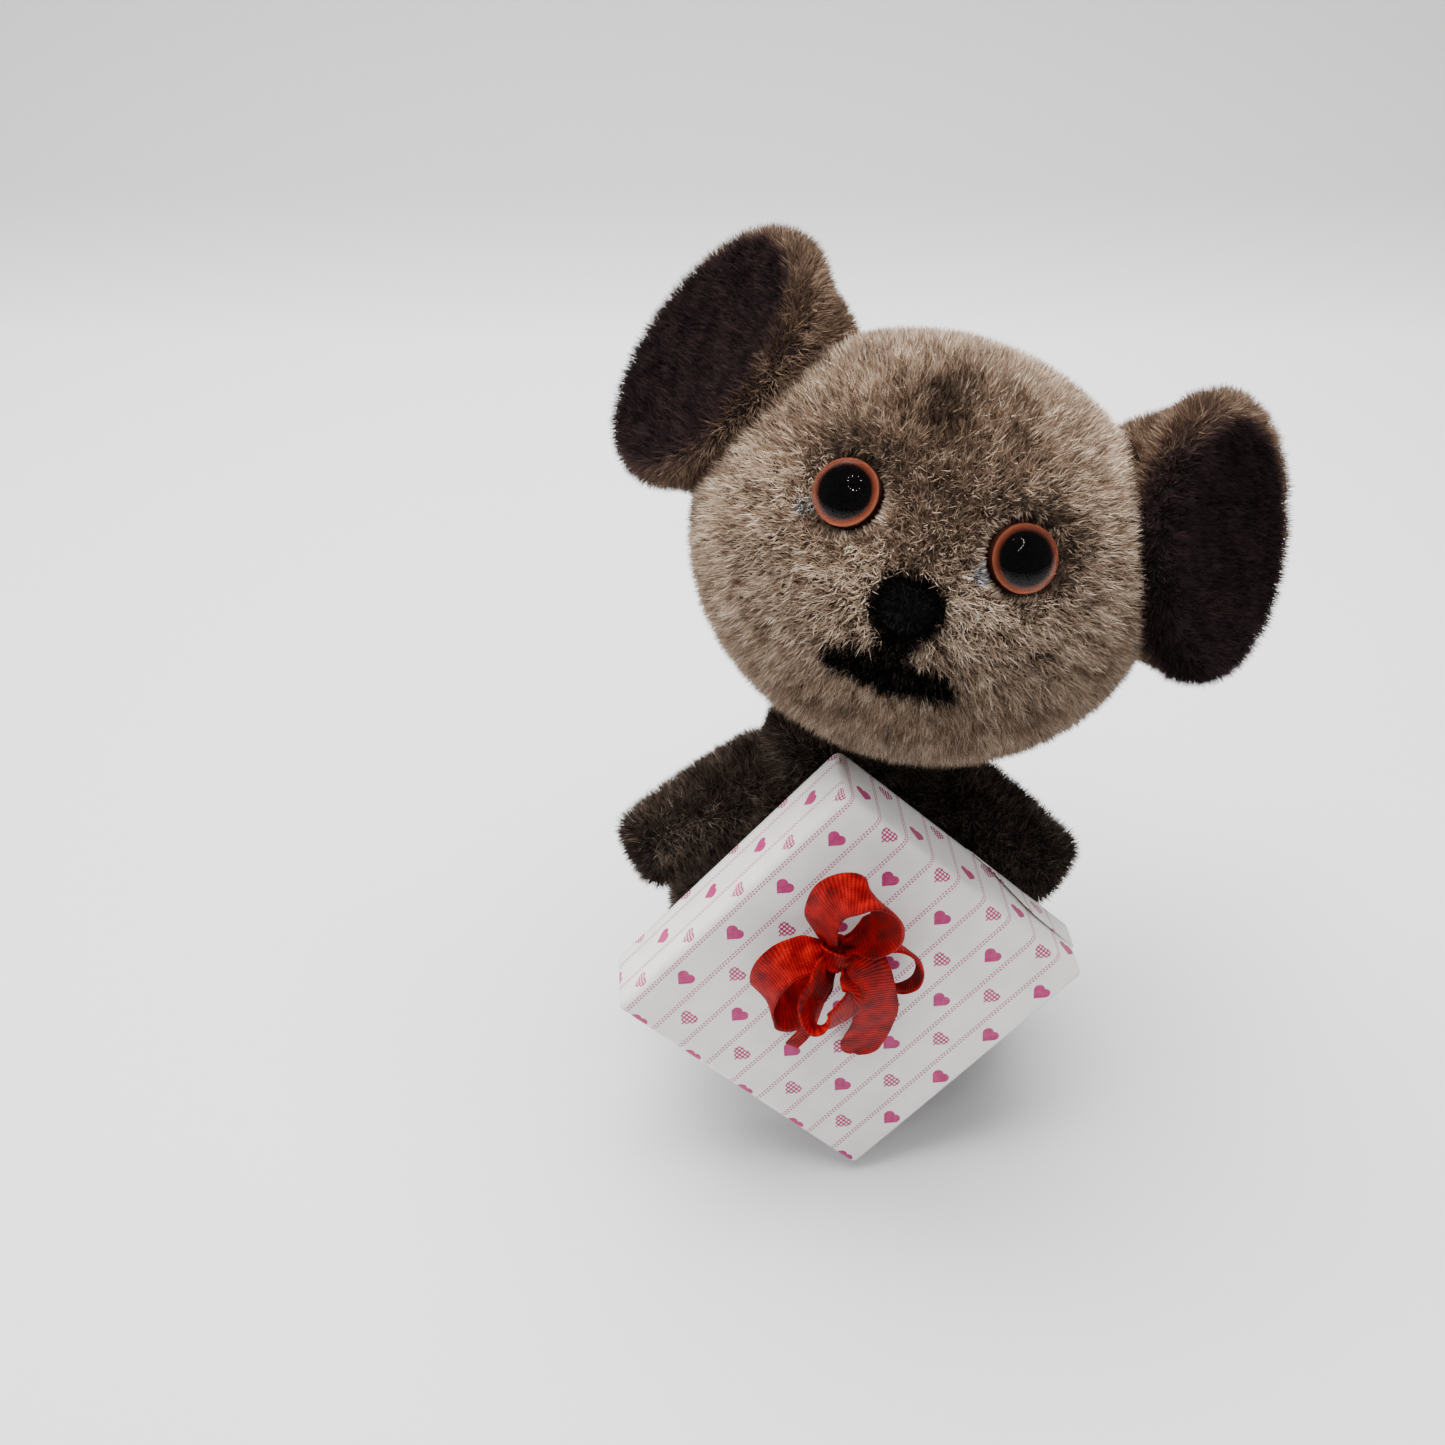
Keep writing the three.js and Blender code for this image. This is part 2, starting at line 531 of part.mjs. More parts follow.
function makeGreatWheel(group) {
  const wheel = gear(TEETH.great, A, towards(A, B), false, 1.0, -3.0, -2.0);
  const stud = [[0, -2.5], [0.45, -2.5], [0.45, -0.7], [0.8, -0.7], [0.8, -0.45], [0, -0.45]];
  const post = new THREE.Vector3(clickPivot.x, 0, clickPivot.z);
  node(group, 'great_wheel', join(wheel, turned(stud, 12, post, new THREE.Vector3(0, 1, 0))), 'brass');
  const spring = new THREE.Shape();
  const bend = [[6.6, -1.6], [6.9, -1.6], [6.5, 1.4], [5.6, 2.6], [5.4, 2.4], [6.2, 1.3]];
  bend.forEach(([x, z], i) => (i ? spring.lineTo(x, z) : spring.moveTo(x, z)));
  spring.closePath();
  node(group, 'click_spring', plate(spring, -1.7, -0.9).translate(A.x, 0, A.z), 'blued');
}

/** The pawl that lets the ratchet turn one way only. */
const clickPivot = { x: A.x + 4.4, z: A.z + 3.4 };
function makeClick(group) {
  const outline = new THREE.Shape();
  const points = [
    [0.95, 0.6], [0.5, 1.0], [-1.0, 0.75], [-2.9, 0.15], [-3.25, -0.35],
    [-2.7, -0.45], [-0.6, -0.95], [0.6, -0.9], [1.0, -0.2],
  ];
  points.forEach(([x, z], i) => (i ? outline.lineTo(x, z) : outline.moveTo(x, z)));
  outline.closePath();
  outline.holes.push(new THREE.Path().absarc(0, 0, 0.53, 0, 2 * Math.PI, true));
  const g = plate(outline, -1.6, -0.8).translate(clickPivot.x, 0, clickPivot.z);
  node(group, 'click', g, 'steel');
}

/** An arbor with the pinion cut on it. */
function pinionArbor(group, name, staff, teeth, at, meshesWith, y0, y1) {
  const pinion = gear(teeth, at, towards(at, meshesWith), true, 0.3, y0, y1);
  node(group, name, join(staff, pinion), 'steel');
}

function makeTrain(group) {
  pinionArbor(group, 'second_arbor', arbor(B, 0.75, 0.6), TEETH.secondPinion, B, A, -3.2, -1.8);
  node(group, 'second_wheel', gear(TEETH.second, B, towards(B, C), false, 0.85, -4.2, -3.4), 'brass');
  pinionArbor(group, 'crank_arbor', arbor(C, 0.75, 0.75, -6.8), TEETH.crankPinion, C, B, -4.3, -3.3);
  node(group, 'governor_wheel', gear(TEETH.governor, C, towards(C, D), false, 0.85, 4.4, 5.2), 'brass');
  const disc = ring(0.85, 2.6, -6.9, -6.2, 18, new THREE.Vector3(C.x, 0, C.z), new THREE.Vector3(0, 1, 0));
  const crankPin = shaft(C.x, linkBottom.z, 0.5, -7.5, -6.5, 10);
  node(group, 'crank_disc', join(disc, crankPin), 'steel');
  pinionArbor(group, 'escape_arbor', arbor(D, 0.65, 0.5), TEETH.escapePinion, D, C, 4.3, 5.3);
  node(group, 'escape_wheel', ratchet(12, D, 2.3, 3.0, 0.75, 2.4, 3.2), 'brass');
}

/** The rocking verge that checks the escape wheel. */
function makeVerge(group) {
  const turn = towards(E, D);
  const staff = arbor(E, 0.5, 0.5);
  const arms = new THREE.Shape();
  const outline = [
    [-1, -0.9], [0.7, -2.6], [1.2, -2.4], [0.5, -0.5],
    [0.5, 0.5], [1.2, 2.4], [0.7, 2.6], [-1, 0.9],
  ];
  outline.forEach(([u, v], i) => {
    const x = E.x + u * Math.cos(turn) - v * Math.sin(turn);
    const z = E.z + u * Math.sin(turn) + v * Math.cos(turn);
    if (i) arms.lineTo(x, z);
    else arms.moveTo(x, z);
  });
  arms.closePath();
  node(group, 'verge', join(staff, plate(arms, 2.4, 3.2)), 'steel');
}

/** The wound mainspring: a flat spiral round the winding arbor. */
function makeMainspring(group) {
  const turns = 4;
  const steps = 52;
  const points = [];
  for (let i = 0; i <= steps; i++) {
    const t = (i / steps) * turns * 2 * Math.PI;
    const r = 1.5 + (6.4 * i) / steps;
    points.push(new THREE.Vector3(A.x + r * Math.cos(t), 1.8, A.z + r * Math.sin(t)));
  }
  node(group, 'mainspring', ribbon(points, new THREE.Vector3(0, 1, 0), 4.0, 0.22, steps), 'blued');
}

// ---------------------------------------------------------------- gift box, in the lid face's own frame
/** A tray of card: a floor and four walls, its mouth towards mouth (+1 is +Y). */
function tray(side, floorY, mouthY, card) {
  const mouth = Math.sign(mouthY - floorY);
  const ys = [floorY, mouthY].sort((a, b) => a - b);
  const h = side / 2;
  const inner = [floorY + mouth * card, mouthY + mouth].sort((a, b) => a - b);
  const outside = slab([-h, ys[0], -h], [h, ys[1], h]);
  return cut(outside, slab([-h + card, inner[0], -h + card], [h - card, inner[1], h - card]));
}

function makeGiftBox(group) {
  const diamond = new THREE.Group();
  diamond.rotation.y = rad(45);
  group.add(diamond);
  node(diamond, 'gift_box_lid', tray(BOX.side, 0, BOX.skirt, BOX.card), 'paper');
  const baseSide = BOX.side - 2 * BOX.card - 0.5;
  node(diamond, 'gift_box_base', tray(baseSide, BOX.depth, BOX.card + GAP, BOX.card), 'paper');
  const padFront = BOX.depth + 0.05;
  node(group, 'glue_pad', slab([-3.2, padFront, -8], [3.2, padFront + 0.5, -1]), 'plastic');
}

/** The bow is one length of ribbon: each run is [width, width direction, points from the knot outwards]. */
const KNOT = new THREE.Vector3(-1.9, -3.2, 8.2);
const TOP_LOOP = [
  4.8, [0.62, -0.72, -0.32],
  [
    [-0.4, 0.1, 0.4], [-1.0, -0.2, 1.9], [-1.6, -0.6, 4.2], [-0.8, -1.4, 7.4], [1.1, -2.0, 8.9],
    [3.5, -2.4, 8.8], [5.3, -2.2, 6.7], [5.4, -1.6, 4.0], [4.0, -0.8, 2.3], [1.2, 0, 0.9],
  ],
];
const LEFT_LOOP = [
  4.4, [0.45, -0.6, -0.65],
  [
    [-0.4, 0.1, 0.4], [-3.4, -1.0, 0.6], [-5.7, -1.6, 0.2], [-7.4, -1.6, -1.7], [-8.0, -1.0, -4.4],
    [-6.9, -0.4, -6.9], [-5.0, -0.2, -7.4], [-3.3, -0.2, -5.3], [-0.7, 0, -0.8],
  ],
];
const RIGHT_LOOP = [
  2.4, [0.2, -0.95, 0.2],
  [
    [0.6, 0.2, 0.1], [5.3, 0, 0.3], [7.6, 0, -0.4], [9.2, 0, -2.6],
    [8.7, 0.2, -5.1], [6.8, 0.4, -6.1], [4.9, 0.4, -4.9], [0.8, 0.2, -0.7],
  ],
];
const FRONT_LOOP = [
  4.8, [0.5, 0.62, -0.6],
  [
    [-0.2, -0.3, 0.2], [-0.7, -0.8, -0.6], [-2.3, -3.2, -1.9], [-3.5, -4.6, -3.0], [-2.9, -5.2, -5.2],
    [-1.5, -5.0, -5.7], [0.4, -4.2, -4.8], [1.7, -2.8, -3.9], [1.1, -1.0, -2.1], [0.2, -0.3, -0.2],
  ],
];
const WIDE_TAIL = [
  4.8, [0.95, -0.05, 0.2],
  [
    [0.6, 0, 0.3], [2.0, -0.5, 0.1], [3.3, -1.6, -1.5], [3.9, -1.8, -4.5],
    [4.2, -1.0, -7.7], [3.4, 0.8, -12.1], [2.0, 2.2, -16.2],
  ],
];
const THIN_TAIL = [
  1.6, [0.8, 0, -0.6],
  [[-0.4, 0.2, -0.6], [-2.2, 1.0, -7.7], [-3.3, 1.6, -11.6], [-5.0, 2.2, -14.4]],
];
const RUNS = [TOP_LOOP, LEFT_LOOP, RIGHT_LOOP, FRONT_LOOP, WIDE_TAIL, THIN_TAIL];

function makeBow(group) {
  const knot = ellipsoid(2.0, 1.9, 1.7, 14, 10);
  const runs = RUNS.map(([width, across, points]) => {
    const path = points.map((p) => new THREE.Vector3(...p));
    return ribbon(path, new THREE.Vector3(...across), width, 0.4, points.length * 3);
  });
  node(group, 'ribbon_bow', join(knot, ...runs).translate(...KNOT.toArray()), 'ribbon');
}

// ---------------------------------------------------------------- assembly
const toy = new THREE.Group();
makeBody(toy);
makeFeet(toy);
makeArms(toy);
makeNeck(toy);
makeHeadBearing(toy);
makeLink(toy);
makeFrame(toy);
makeWinding(toy);
makeGreatWheel(toy);
makeClick(toy);
makeTrain(toy);
makeVerge(toy);
makeMainspring(toy);

const head = new THREE.Group();
head.position.copy(headCentre);
head.quaternion.copy(sway).multiply(lookUp);
toy.add(head);
makeHead(head);
makeEars(head);
makeEyes(head);

const gift = new THREE.Group();
gift.position.copy(BOX_FACE);
gift.rotation.set(rad(-BOX.lean), rad(-BOX.roll), rad(BOX.yaw), 'ZXY');
toy.add(gift);
makeGiftBox(gift);
makeBow(gift);

toy.position.copy(ORIGIN_SHIFT);
export default toy;
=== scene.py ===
"""Flocked clockwork mouse with a wrapped gift box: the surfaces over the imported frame."""
import json
import math

import bpy
import numpy as np
from mathutils import Euler, Matrix, Vector


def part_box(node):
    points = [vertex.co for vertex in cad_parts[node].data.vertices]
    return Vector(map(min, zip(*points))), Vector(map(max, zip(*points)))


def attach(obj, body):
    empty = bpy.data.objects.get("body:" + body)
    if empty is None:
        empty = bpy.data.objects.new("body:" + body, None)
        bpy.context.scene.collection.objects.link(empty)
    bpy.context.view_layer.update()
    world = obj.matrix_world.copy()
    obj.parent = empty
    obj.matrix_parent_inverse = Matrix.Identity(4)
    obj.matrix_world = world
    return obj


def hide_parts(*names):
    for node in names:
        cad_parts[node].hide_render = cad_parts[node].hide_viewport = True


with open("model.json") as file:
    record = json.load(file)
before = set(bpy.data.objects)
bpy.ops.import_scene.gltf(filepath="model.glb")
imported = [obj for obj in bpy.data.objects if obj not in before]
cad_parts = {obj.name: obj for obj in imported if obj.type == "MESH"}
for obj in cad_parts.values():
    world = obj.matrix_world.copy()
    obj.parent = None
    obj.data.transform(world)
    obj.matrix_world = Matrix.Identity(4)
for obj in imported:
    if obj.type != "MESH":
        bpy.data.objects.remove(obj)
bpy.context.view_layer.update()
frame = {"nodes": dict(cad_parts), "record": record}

MM = 0.001
NODES = frame["nodes"]


def box_middle(name):
    low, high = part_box(name)
    return np.array((low + high) / 2)


# Every place below is in millimetres from the point under the middle of the body. The base plate's middle is
# 0.4 mm in front of it and 3.4 mm above it.
ORIGIN = box_middle("base_plate") - np.array([0, -0.4, 3.4]) * MM
PLACE = Matrix.Translation(Vector(ORIGIN)) @ Matrix.Scale(MM, 4)


def turn(axis, degrees):
    return Matrix.Rotation(math.radians(degrees), 4, axis)


# The head's frame: its centre is HEAD_RISE from the neck pivot, turned about the sloping pin and tipped back.
PIN_SLOPE = math.radians(47)
PIN = Vector((0, math.cos(PIN_SLOPE), -math.sin(PIN_SLOPE)))
SWAY = Matrix.Rotation(math.radians(21), 4, PIN)
NECK_PIVOT = Vector((0, -5.5, 46))
HEAD_RISE = Vector((0, 0, 26))
HEAD_TILT = -23.2
HEAD = Matrix.Translation(NECK_PIVOT + SWAY.to_3x3() @ HEAD_RISE) @ SWAY @ turn("X", HEAD_TILT)
# The gift box's frame: the middle of the lid's face, which looks along -Y.
GIFT = Matrix.Translation(Vector((-0.7, -28.6, 27.1))) @ turn("Z", 3.0) @ turn("X", -7.55) @ turn("Y", -2.5)
SQUARE = GIFT @ turn("Y", 45)


# ---------------------------------------------------------------- materials
def srgb(r, g, b):
    linear = [((c / 255 + 0.055) / 1.055) ** 2.4 if c > 10 else c / 255 / 12.92 for c in (r, g, b)]
    return (*linear, 1.0)


def principled(name, color=(0.5, 0.5, 0.5, 1), **sockets):
    mat = bpy.data.materials.new(name)
    mat.use_nodes = True
    shader = mat.node_tree.nodes["Principled BSDF"]
    shader.inputs["Base Color"].default_value = color
    for key, value in sockets.items():
        shader.inputs[key.replace("_", " ")].default_value = value
    return mat, mat.node_tree, shader


def add(tree, kind, **values):
    n = tree.nodes.new(kind)
    for key, value in values.items():
        setattr(n, key, value)
    return n


def math_node(tree, op, a, b=None, c=None):
    n = add(tree, "ShaderNodeMath", operation=op)
    for i, v in enumerate((a, b, c)):
        if v is None:
            continue
        if isinstance(v, (int, float)):
            n.inputs[i].default_value = v
        else:
            tree.links.new(v, n.inputs[i])
    return n.outputs[0]


def noise(tree, coordinates, scale, detail=2.0, rough=0.5):
    n = add(tree, "ShaderNodeTexNoise")
    n.inputs["Scale"].default_value = scale
    n.inputs["Detail"].default_value = detail
    n.inputs["Roughness"].default_value = rough
    tree.links.new(coordinates, n.inputs["Vector"])
    return n.outputs["Fac"]


def ramp(tree, fac, *stops):
    n = add(tree, "ShaderNodeValToRGB")
    while len(n.color_ramp.elements) < len(stops):
        n.color_ramp.elements.new(0.5)
    for element, (place, color) in zip(n.color_ramp.elements, stops):
        element.position = place
        element.color = color
    tree.links.new(fac, n.inputs[0])
    return n.outputs[0]


def blend_color(tree, fac, a, b):
    n = add(tree, "ShaderNodeMix", data_type="RGBA")
    for socket, v in ((n.inputs[0], fac), (n.inputs[6], a), (n.inputs[7], b)):
        if isinstance(v, (int, float, tuple)):
            socket.default_value = v
        else:
            tree.links.new(v, socket)
    return n.outputs[2]


def bump(tree, shader, height, strength, distance):
    n = add(tree, "ShaderNodeBump")
    n.inputs["Strength"].default_value = strength
    n.inputs["Distance"].default_value = distance
    tree.links.new(height, n.inputs["Height"])
    tree.links.new(n.outputs[0], shader.inputs["Normal"])


def object_coordinates(tree):
    return add(tree, "ShaderNodeTexCoord").outputs["Object"]


def uv_parts(tree):
    """The UV map, and its U and V on their own."""
    uv = add(tree, "ShaderNodeUVMap").outputs[0]
    split = add(tree, "ShaderNodeSeparateXYZ")
    tree.links.new(uv, split.inputs[0])
    return uv, split.outputs["X"], split.outputs["Y"]


def metal(name, color, rough, scratch=900):
    mat, tree, shader = principled(name, color, Metallic=1.0, Roughness=rough)
    at = object_coordinates(tree)
    cloud = noise(tree, at, scratch, 4)
    fine = noise(tree, at, scratch * 6, 2)
    dark = tuple(c * 0.72 for c in color[:3]) + (1.0,)
    tree.links.new(ramp(tree, cloud, (0.3, dark), (0.7, color)), shader.inputs["Base Color"])
    spread = math_node(tree, "MULTIPLY_ADD", fine, 0.22, rough - 0.11)
    tree.links.new(spread, shader.inputs["Roughness"])
    bump(tree, shader, fine, 0.15, 0.00002)
    return mat


def skin(name, dark, light, scale=900):
    """The glued flock between the fibres' roots, in colours darker than the fibres': painted shade between
    them.
    """
    mat, tree, shader = principled(name, dark, Roughness=0.95)
    fac = noise(tree, object_coordinates(tree), scale, 3)
    tree.links.new(ramp(tree, fac, (0.35, dark), (0.65, light)), shader.inputs["Base Color"])
    return mat


def fibre(name, rgb):
    return principled(name, srgb(*rgb), Roughness=0.85, Specular_IOR_Level=0.12)[0]


# ---------------------------------------------------------------- mesh helpers
def make_object(name, verts, faces, body, materials, matrix=PLACE, smooth=True, uvs=None):
    """A mesh from points in mm, placed by matrix into the row frame, riding on a body."""
    verts = np.asarray(verts, float)
    m = np.array(matrix)
    verts = verts @ m[:3, :3].T + m[:3, 3]
    mesh = bpy.data.meshes.new(name)
    mesh.from_pydata(verts.tolist(), [], [list(f) for f in faces])
    if uvs is not None:
        layer = mesh.uv_layers.new(name="UVMap")
        layer.data.foreach_set("uv", np.asarray(uvs, float).ravel())
    mesh.validate()
    mesh.update()
    if smooth:
        mesh.shade_smooth()
    for mat in materials:
        mesh.materials.append(mat)
    obj = bpy.data.objects.new(name, mesh)
    bpy.context.scene.collection.objects.link(obj)
    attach(obj, body)
    return obj


def grid_faces(rows, columns, closed=True):
    faces = []
    for i in range(rows - 1):
        for j in range(columns if closed else columns - 1):
            k = (j + 1) % columns
            faces.append((i * columns + j, i * columns + k, (i + 1) * columns + k, (i + 1) * columns + j))
    return faces


def lathe(profile, sides, matrix=Matrix.Identity(4)):
    """Points and faces of [radius, height] turned about the matrix's Z."""
    profile = np.asarray(profile, float)
    t = np.linspace(0, 2 * math.pi, sides, endpoint=False)
    ring = np.stack([np.cos(t), np.sin(t)], 1)
    pts = np.concatenate([np.column_stack([ring * max(r, 1e-4), np.full(sides, h)]) for r, h in profile])
    m = np.array(matrix)
    return pts @ m[:3, :3].T + m[:3, 3], grid_faces(len(profile), sides)


def facing(at, direction):
    """A frame at a place whose Z looks along a direction."""
    rotation = Vector(direction).to_track_quat("Z", "Y").to_matrix().to_4x4()
    return Matrix.Translation(Vector(at)) @ rotation


def modifier(obj, kind, **values):
    m = obj.modifiers.new(kind.title(), kind)
    for key, value in values.items():
        setattr(m, key, value)
    return m


def evaluated(obj):
    """(points in mm from the origin, normals, triangles) of an object with its modifiers."""
    graph = bpy.context.evaluated_depsgraph_get()
    mesh = obj.evaluated_get(graph).to_mesh()
    mesh.calc_loop_triangles()
    pts = np.empty(len(mesh.vertices) * 3)
    mesh.vertices.foreach_get("co", pts)
    normals = np.empty(len(mesh.vertices) * 3)
    mesh.vertex_normals.foreach_get("vector", normals)
    tris = np.empty(len(mesh.loop_triangles) * 3, int)
    mesh.loop_triangles.foreach_get("vertices", tris)
    pts = (pts.reshape(-1, 3) - ORIGIN) / MM
    return pts, normals.reshape(-1, 3), tris.reshape(-1, 3)


def noise_field(rng, wavelength, waves=24):
    """A smooth seeded field over space with about that wavelength, from 0 to 1."""
    direction = rng.normal(size=(waves, 3))
    direction /= np.linalg.norm(direction, axis=1)[:, None]
    k = direction * (2 * math.pi / wavelength) * rng.uniform(0.6, 1.5, (waves, 1))
    phase = rng.uniform(0, 2 * math.pi, waves)

    def field(p):
        total = np.zeros(len(p))
        for i in range(waves):
            total += np.sin(p @ k[i] + phase[i])
        return 0.5 + 0.5 * np.tanh(total / math.sqrt(waves / 2) * 0.9)
    return field


def inverse(matrix, p):
    """Points in the matrix's own frame."""
    m = np.array(matrix.inverted())
    return p @ m[:3, :3].T + m[:3, 3]


# how far fibres are sunk into their surface, and how close to the floor their tips may come
ROOT_DEPTH = 0.12
LOWEST_TIP = 0.15


def flock(name, surface, density, length, width, shade, materials, body, seed,
          jitter, comb=None, keep=None, parts=1):
    """Fibres standing on a surface, density of them to each square millimetre, shared out over parts objects.

    shade(points, random) gives each fibre's material number, keep(points, normals) says which fibres stay,
    and comb(points, normals) gives what is added to each fibre's direction.
    """
    rng = np.random.default_rng(seed)
    pts, normals, tris = surface
    a, b, c = (pts[tris[:, i]] for i in range(3))
    area = np.linalg.norm(np.cross(b - a, c - a), axis=1) / 2
    per = rng.poisson(area * density)
    index = np.repeat(np.arange(len(tris)), per)
    u, v = rng.random(len(index)), rng.random(len(index))
    over = u + v > 1
    u[over], v[over] = 1 - u[over], 1 - v[over]
    w = 1 - u - v
    t = tris[index]
    p = pts[t[:, 0]] * w[:, None] + pts[t[:, 1]] * u[:, None] + pts[t[:, 2]] * v[:, None]
    n = normals[t[:, 0]] * w[:, None] + normals[t[:, 1]] * u[:, None] + normals[t[:, 2]] * v[:, None]
    n /= np.linalg.norm(n, axis=1)[:, None] + 1e-9
    if keep is not None:
        chosen = keep(p, n)
        p, n = p[chosen], n[chosen]
    count = len(p)
    drift = np.stack([noise_field(rng, 2.4)(p) for _ in range(3)], 1) - 0.5
    d = n + jitter * rng.normal(size=(count, 3)) * 0.8 + drift * jitter * 1.1
    if comb is not None:
        d = d + comb(p, n)
    d /= np.linalg.norm(d, axis=1)[:, None]
    long = (length(p) if callable(length) else length) * rng.uniform(0.72, 1.12, count)
    side = np.cross(d, rng.normal(size=(count, 3)))
    side /= np.linalg.norm(side, axis=1)[:, None]
    half = side * (width * rng.uniform(0.7, 1.2, (count, 1)) / 2)
    root = p - n * ROOT_DEPTH
    tip = p + d * long[:, None]
    tip[:, 2] = np.maximum(tip[:, 2], LOWEST_TIP)
    colour = shade(p, rng)
    order = rng.permutation(count)
    for part in range(parts):
        pick = order[part::parts]
        corners = np.stack([root[pick] - half[pick], root[pick] + half[pick], tip[pick]], 1)
        corners = corners.reshape(-1, 3) * MM + ORIGIN
        mesh = bpy.data.meshes.new(name)
        mesh.vertices.add(len(corners))
        mesh.vertices.foreach_set("co", corners.ravel())
        mesh.loops.add(len(corners))
        mesh.loops.foreach_set("vertex_index", np.arange(len(corners), dtype=np.int32))
        mesh.polygons.add(len(pick))
        mesh.polygons.foreach_set("loop_start", np.arange(0, len(corners), 3, dtype=np.int32))
        for mat in materials:
            mesh.materials.append(mat)
        mesh.polygons.foreach_set("material_index", colour[pick].astype(np.int32))
        mesh.update(calc_edges=True)
        obj = bpy.data.objects.new(name if parts == 1 else f"{name}_{part + 1}", mesh)
        bpy.context.scene.collection.objects.link(obj)
        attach(obj, body)


DENSITY = 1.0

# ---------------------------------------------------------------- flock colours
TAN = [
    fibre("flock_umber", (66, 54, 46)),
    fibre("flock_brown", (100, 83, 70)),
    fibre("flock_hazel", (136, 116, 99)),
    fibre("flock_tan", (170, 147, 127)),
    fibre("flock_cream", (206, 185, 163)),
    fibre("flock_pale", (234, 219, 200)),
    fibre("flock_black", (6, 5, 5)),
    fibre("flock_glue", (176, 188, 200)),
]
BLACK_LEVEL, GLUE_LEVEL = 6, 7
DARK = [
    fibre("body_black", (44, 36, 32)),
    fibre("body_dark", (80, 68, 60)),
    fibre("body_brown", (114, 99, 87)),
    fibre("body_grey", (148, 132, 117)),
]
EAR = [
    fibre("ear_black", (32, 24, 25)),
    fibre("ear_dark", (52, 39, 39)),
    fibre("ear_plum", (76, 59, 55)),
    fibre("ear_brown", (102, 82, 68)),
    fibre("ear_tan", (140, 117, 98)),
]
BLACK = [fibre("nose_black", (5, 4, 5)), fibre("nose_soft", (15, 12, 13))]

# the skins are darker than the fibres standing on them: painted shade between the fibres
head_skin_look = skin("head_flock_base", srgb(46, 36, 30), srgb(88, 70, 58))
body_skin_look = skin("body_flock_base", srgb(26, 21, 18), srgb(44, 36, 31))
ear_skin_look = skin("ear_flock_base", srgb(26, 19, 20), srgb(42, 32, 31))
black_skin_look = skin("black_flock_base", srgb(3, 3, 3), srgb(8, 7, 7))

# ---------------------------------------------------------------- head
RX, RY, RZ = 24.0, 21.0, 21.4
SIDES = (("right", -1), ("left", 1))


def on_head(azimuth, elevation):
    a, e = math.radians(azimuth), math.radians(elevation)
    u = np.array([math.cos(e) * math.sin(a), -math.cos(e) * math.cos(a), math.sin(e)])
    return u / math.sqrt((u[0] / RX) ** 2 + (u[1] / RY) ** 2 + (u[2] / RZ) ** 2)


def head_normal(p):
    n = np.array([p[0] / RX ** 2, p[1] / RY ** 2, p[2] / RZ ** 2])
    return n / np.linalg.norm(n)


EYE_RADIUS = 3.4
EYES = {}
for word, side in SIDES:
    place = on_head(side * 25.5, 14)
    EYES[word] = (place, head_normal(place))


def smooth_step(x):
    x = np.clip(x, 0, 1)
    return x * x * (3 - 2 * x)


def head_surface(u):
    """The head's surface in its own frame along the directions u."""
    r = 1 / np.sqrt((u[:, 0] / RX) ** 2 + (u[:, 1] / RY) ** 2 + (u[:, 2] / RZ) ** 2)
    p = u * r[:, None]
    front = p[:, 1] < 0
    muzzle = np.exp(-((p[:, 0] / 8.6) ** 2 + ((p[:, 2] + 6.0) / 6.4) ** 2) ** 1.3) * front
    bridge = np.exp(-((p[:, 0] / 4.2) ** 2 + ((p[:, 2] - 2.0) / 5.0) ** 2)) * front
    brow = np.exp(-(((np.abs(p[:, 0]) - 8.0) / 4.0) ** 2 + ((p[:, 2] - 11.0) / 3.2) ** 2)) * front
    p = p + u * (1.8 * muzzle + 0.5 * bridge + 0.6 * brow)[:, None]
    for at, n in EYES.values():
        d = np.linalg.norm(p - at, axis=1)
        p = p - n * (2.3 * (1 - smooth_step((d - 3.3) / 1.3)))[:, None]
    return p


def sphere_grid(columns, rows):
    """Unit directions in rows from the top down, each row a ring of columns."""
    theta = np.linspace(0.004, math.pi - 0.004, rows)
    phi = np.linspace(0, 2 * math.pi, columns, endpoint=False)
    t, f = np.meshgrid(theta, phi, indexing="ij")
    return np.stack([np.sin(t) * np.cos(f), np.sin(t) * np.sin(f), np.cos(t)], -1).reshape(-1, 3)


NECK_AXIS = np.array(turn("X", -HEAD_TILT).to_3x3() @ Vector((0, 0, -1)))
NECK_HOLE = 7.8
SKIN_THICKNESS = 1.4
HEAD_COLUMNS, HEAD_ROWS = 176, 120
head_points = head_surface(sphere_grid(HEAD_COLUMNS, HEAD_ROWS))
faces = grid_faces(HEAD_ROWS, HEAD_COLUMNS)
centres = head_points[np.array(faces)].mean(1)
off_axis = centres - np.outer(centres @ NECK_AXIS, NECK_AXIS)
open_neck = (np.linalg.norm(off_axis, axis=1) < NECK_HOLE) & (centres @ NECK_AXIS > 0)
faces = [f[::-1] for f, hole in zip(faces, open_neck) if not hole]
head = make_object("head_skin", head_points, faces, "head", [head_skin_look], PLACE @ HEAD)
modifier(head, "SOLIDIFY", thickness=SKIN_THICKNESS * MM, offset=-1.0)
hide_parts("head_front_shell", "head_back_shell")

NOSE_AT = np.array([0.3, -22.5, -2.6])


def mouth_mask(p):
    """1 inside the black mouth band and the bar under the nose, in the head's frame."""
    x = p[:, 0] - 0.9
    middle = -9.4 - 0.35 * np.cos(x * 0.9) + 0.03 * x
    half_height = 1.75 * np.sqrt(np.clip(1 - (x / 7.2) ** 4, 0, 1))
    band = (np.abs(x) < 6.6) & (np.abs(p[:, 2] - middle) < half_height)
    bar = (np.abs(x + 0.5) < 1.7) & (p[:, 2] < -3.0) & (p[:, 2] > -9.5)
    return (band | bar) & (p[:, 1] < 0)


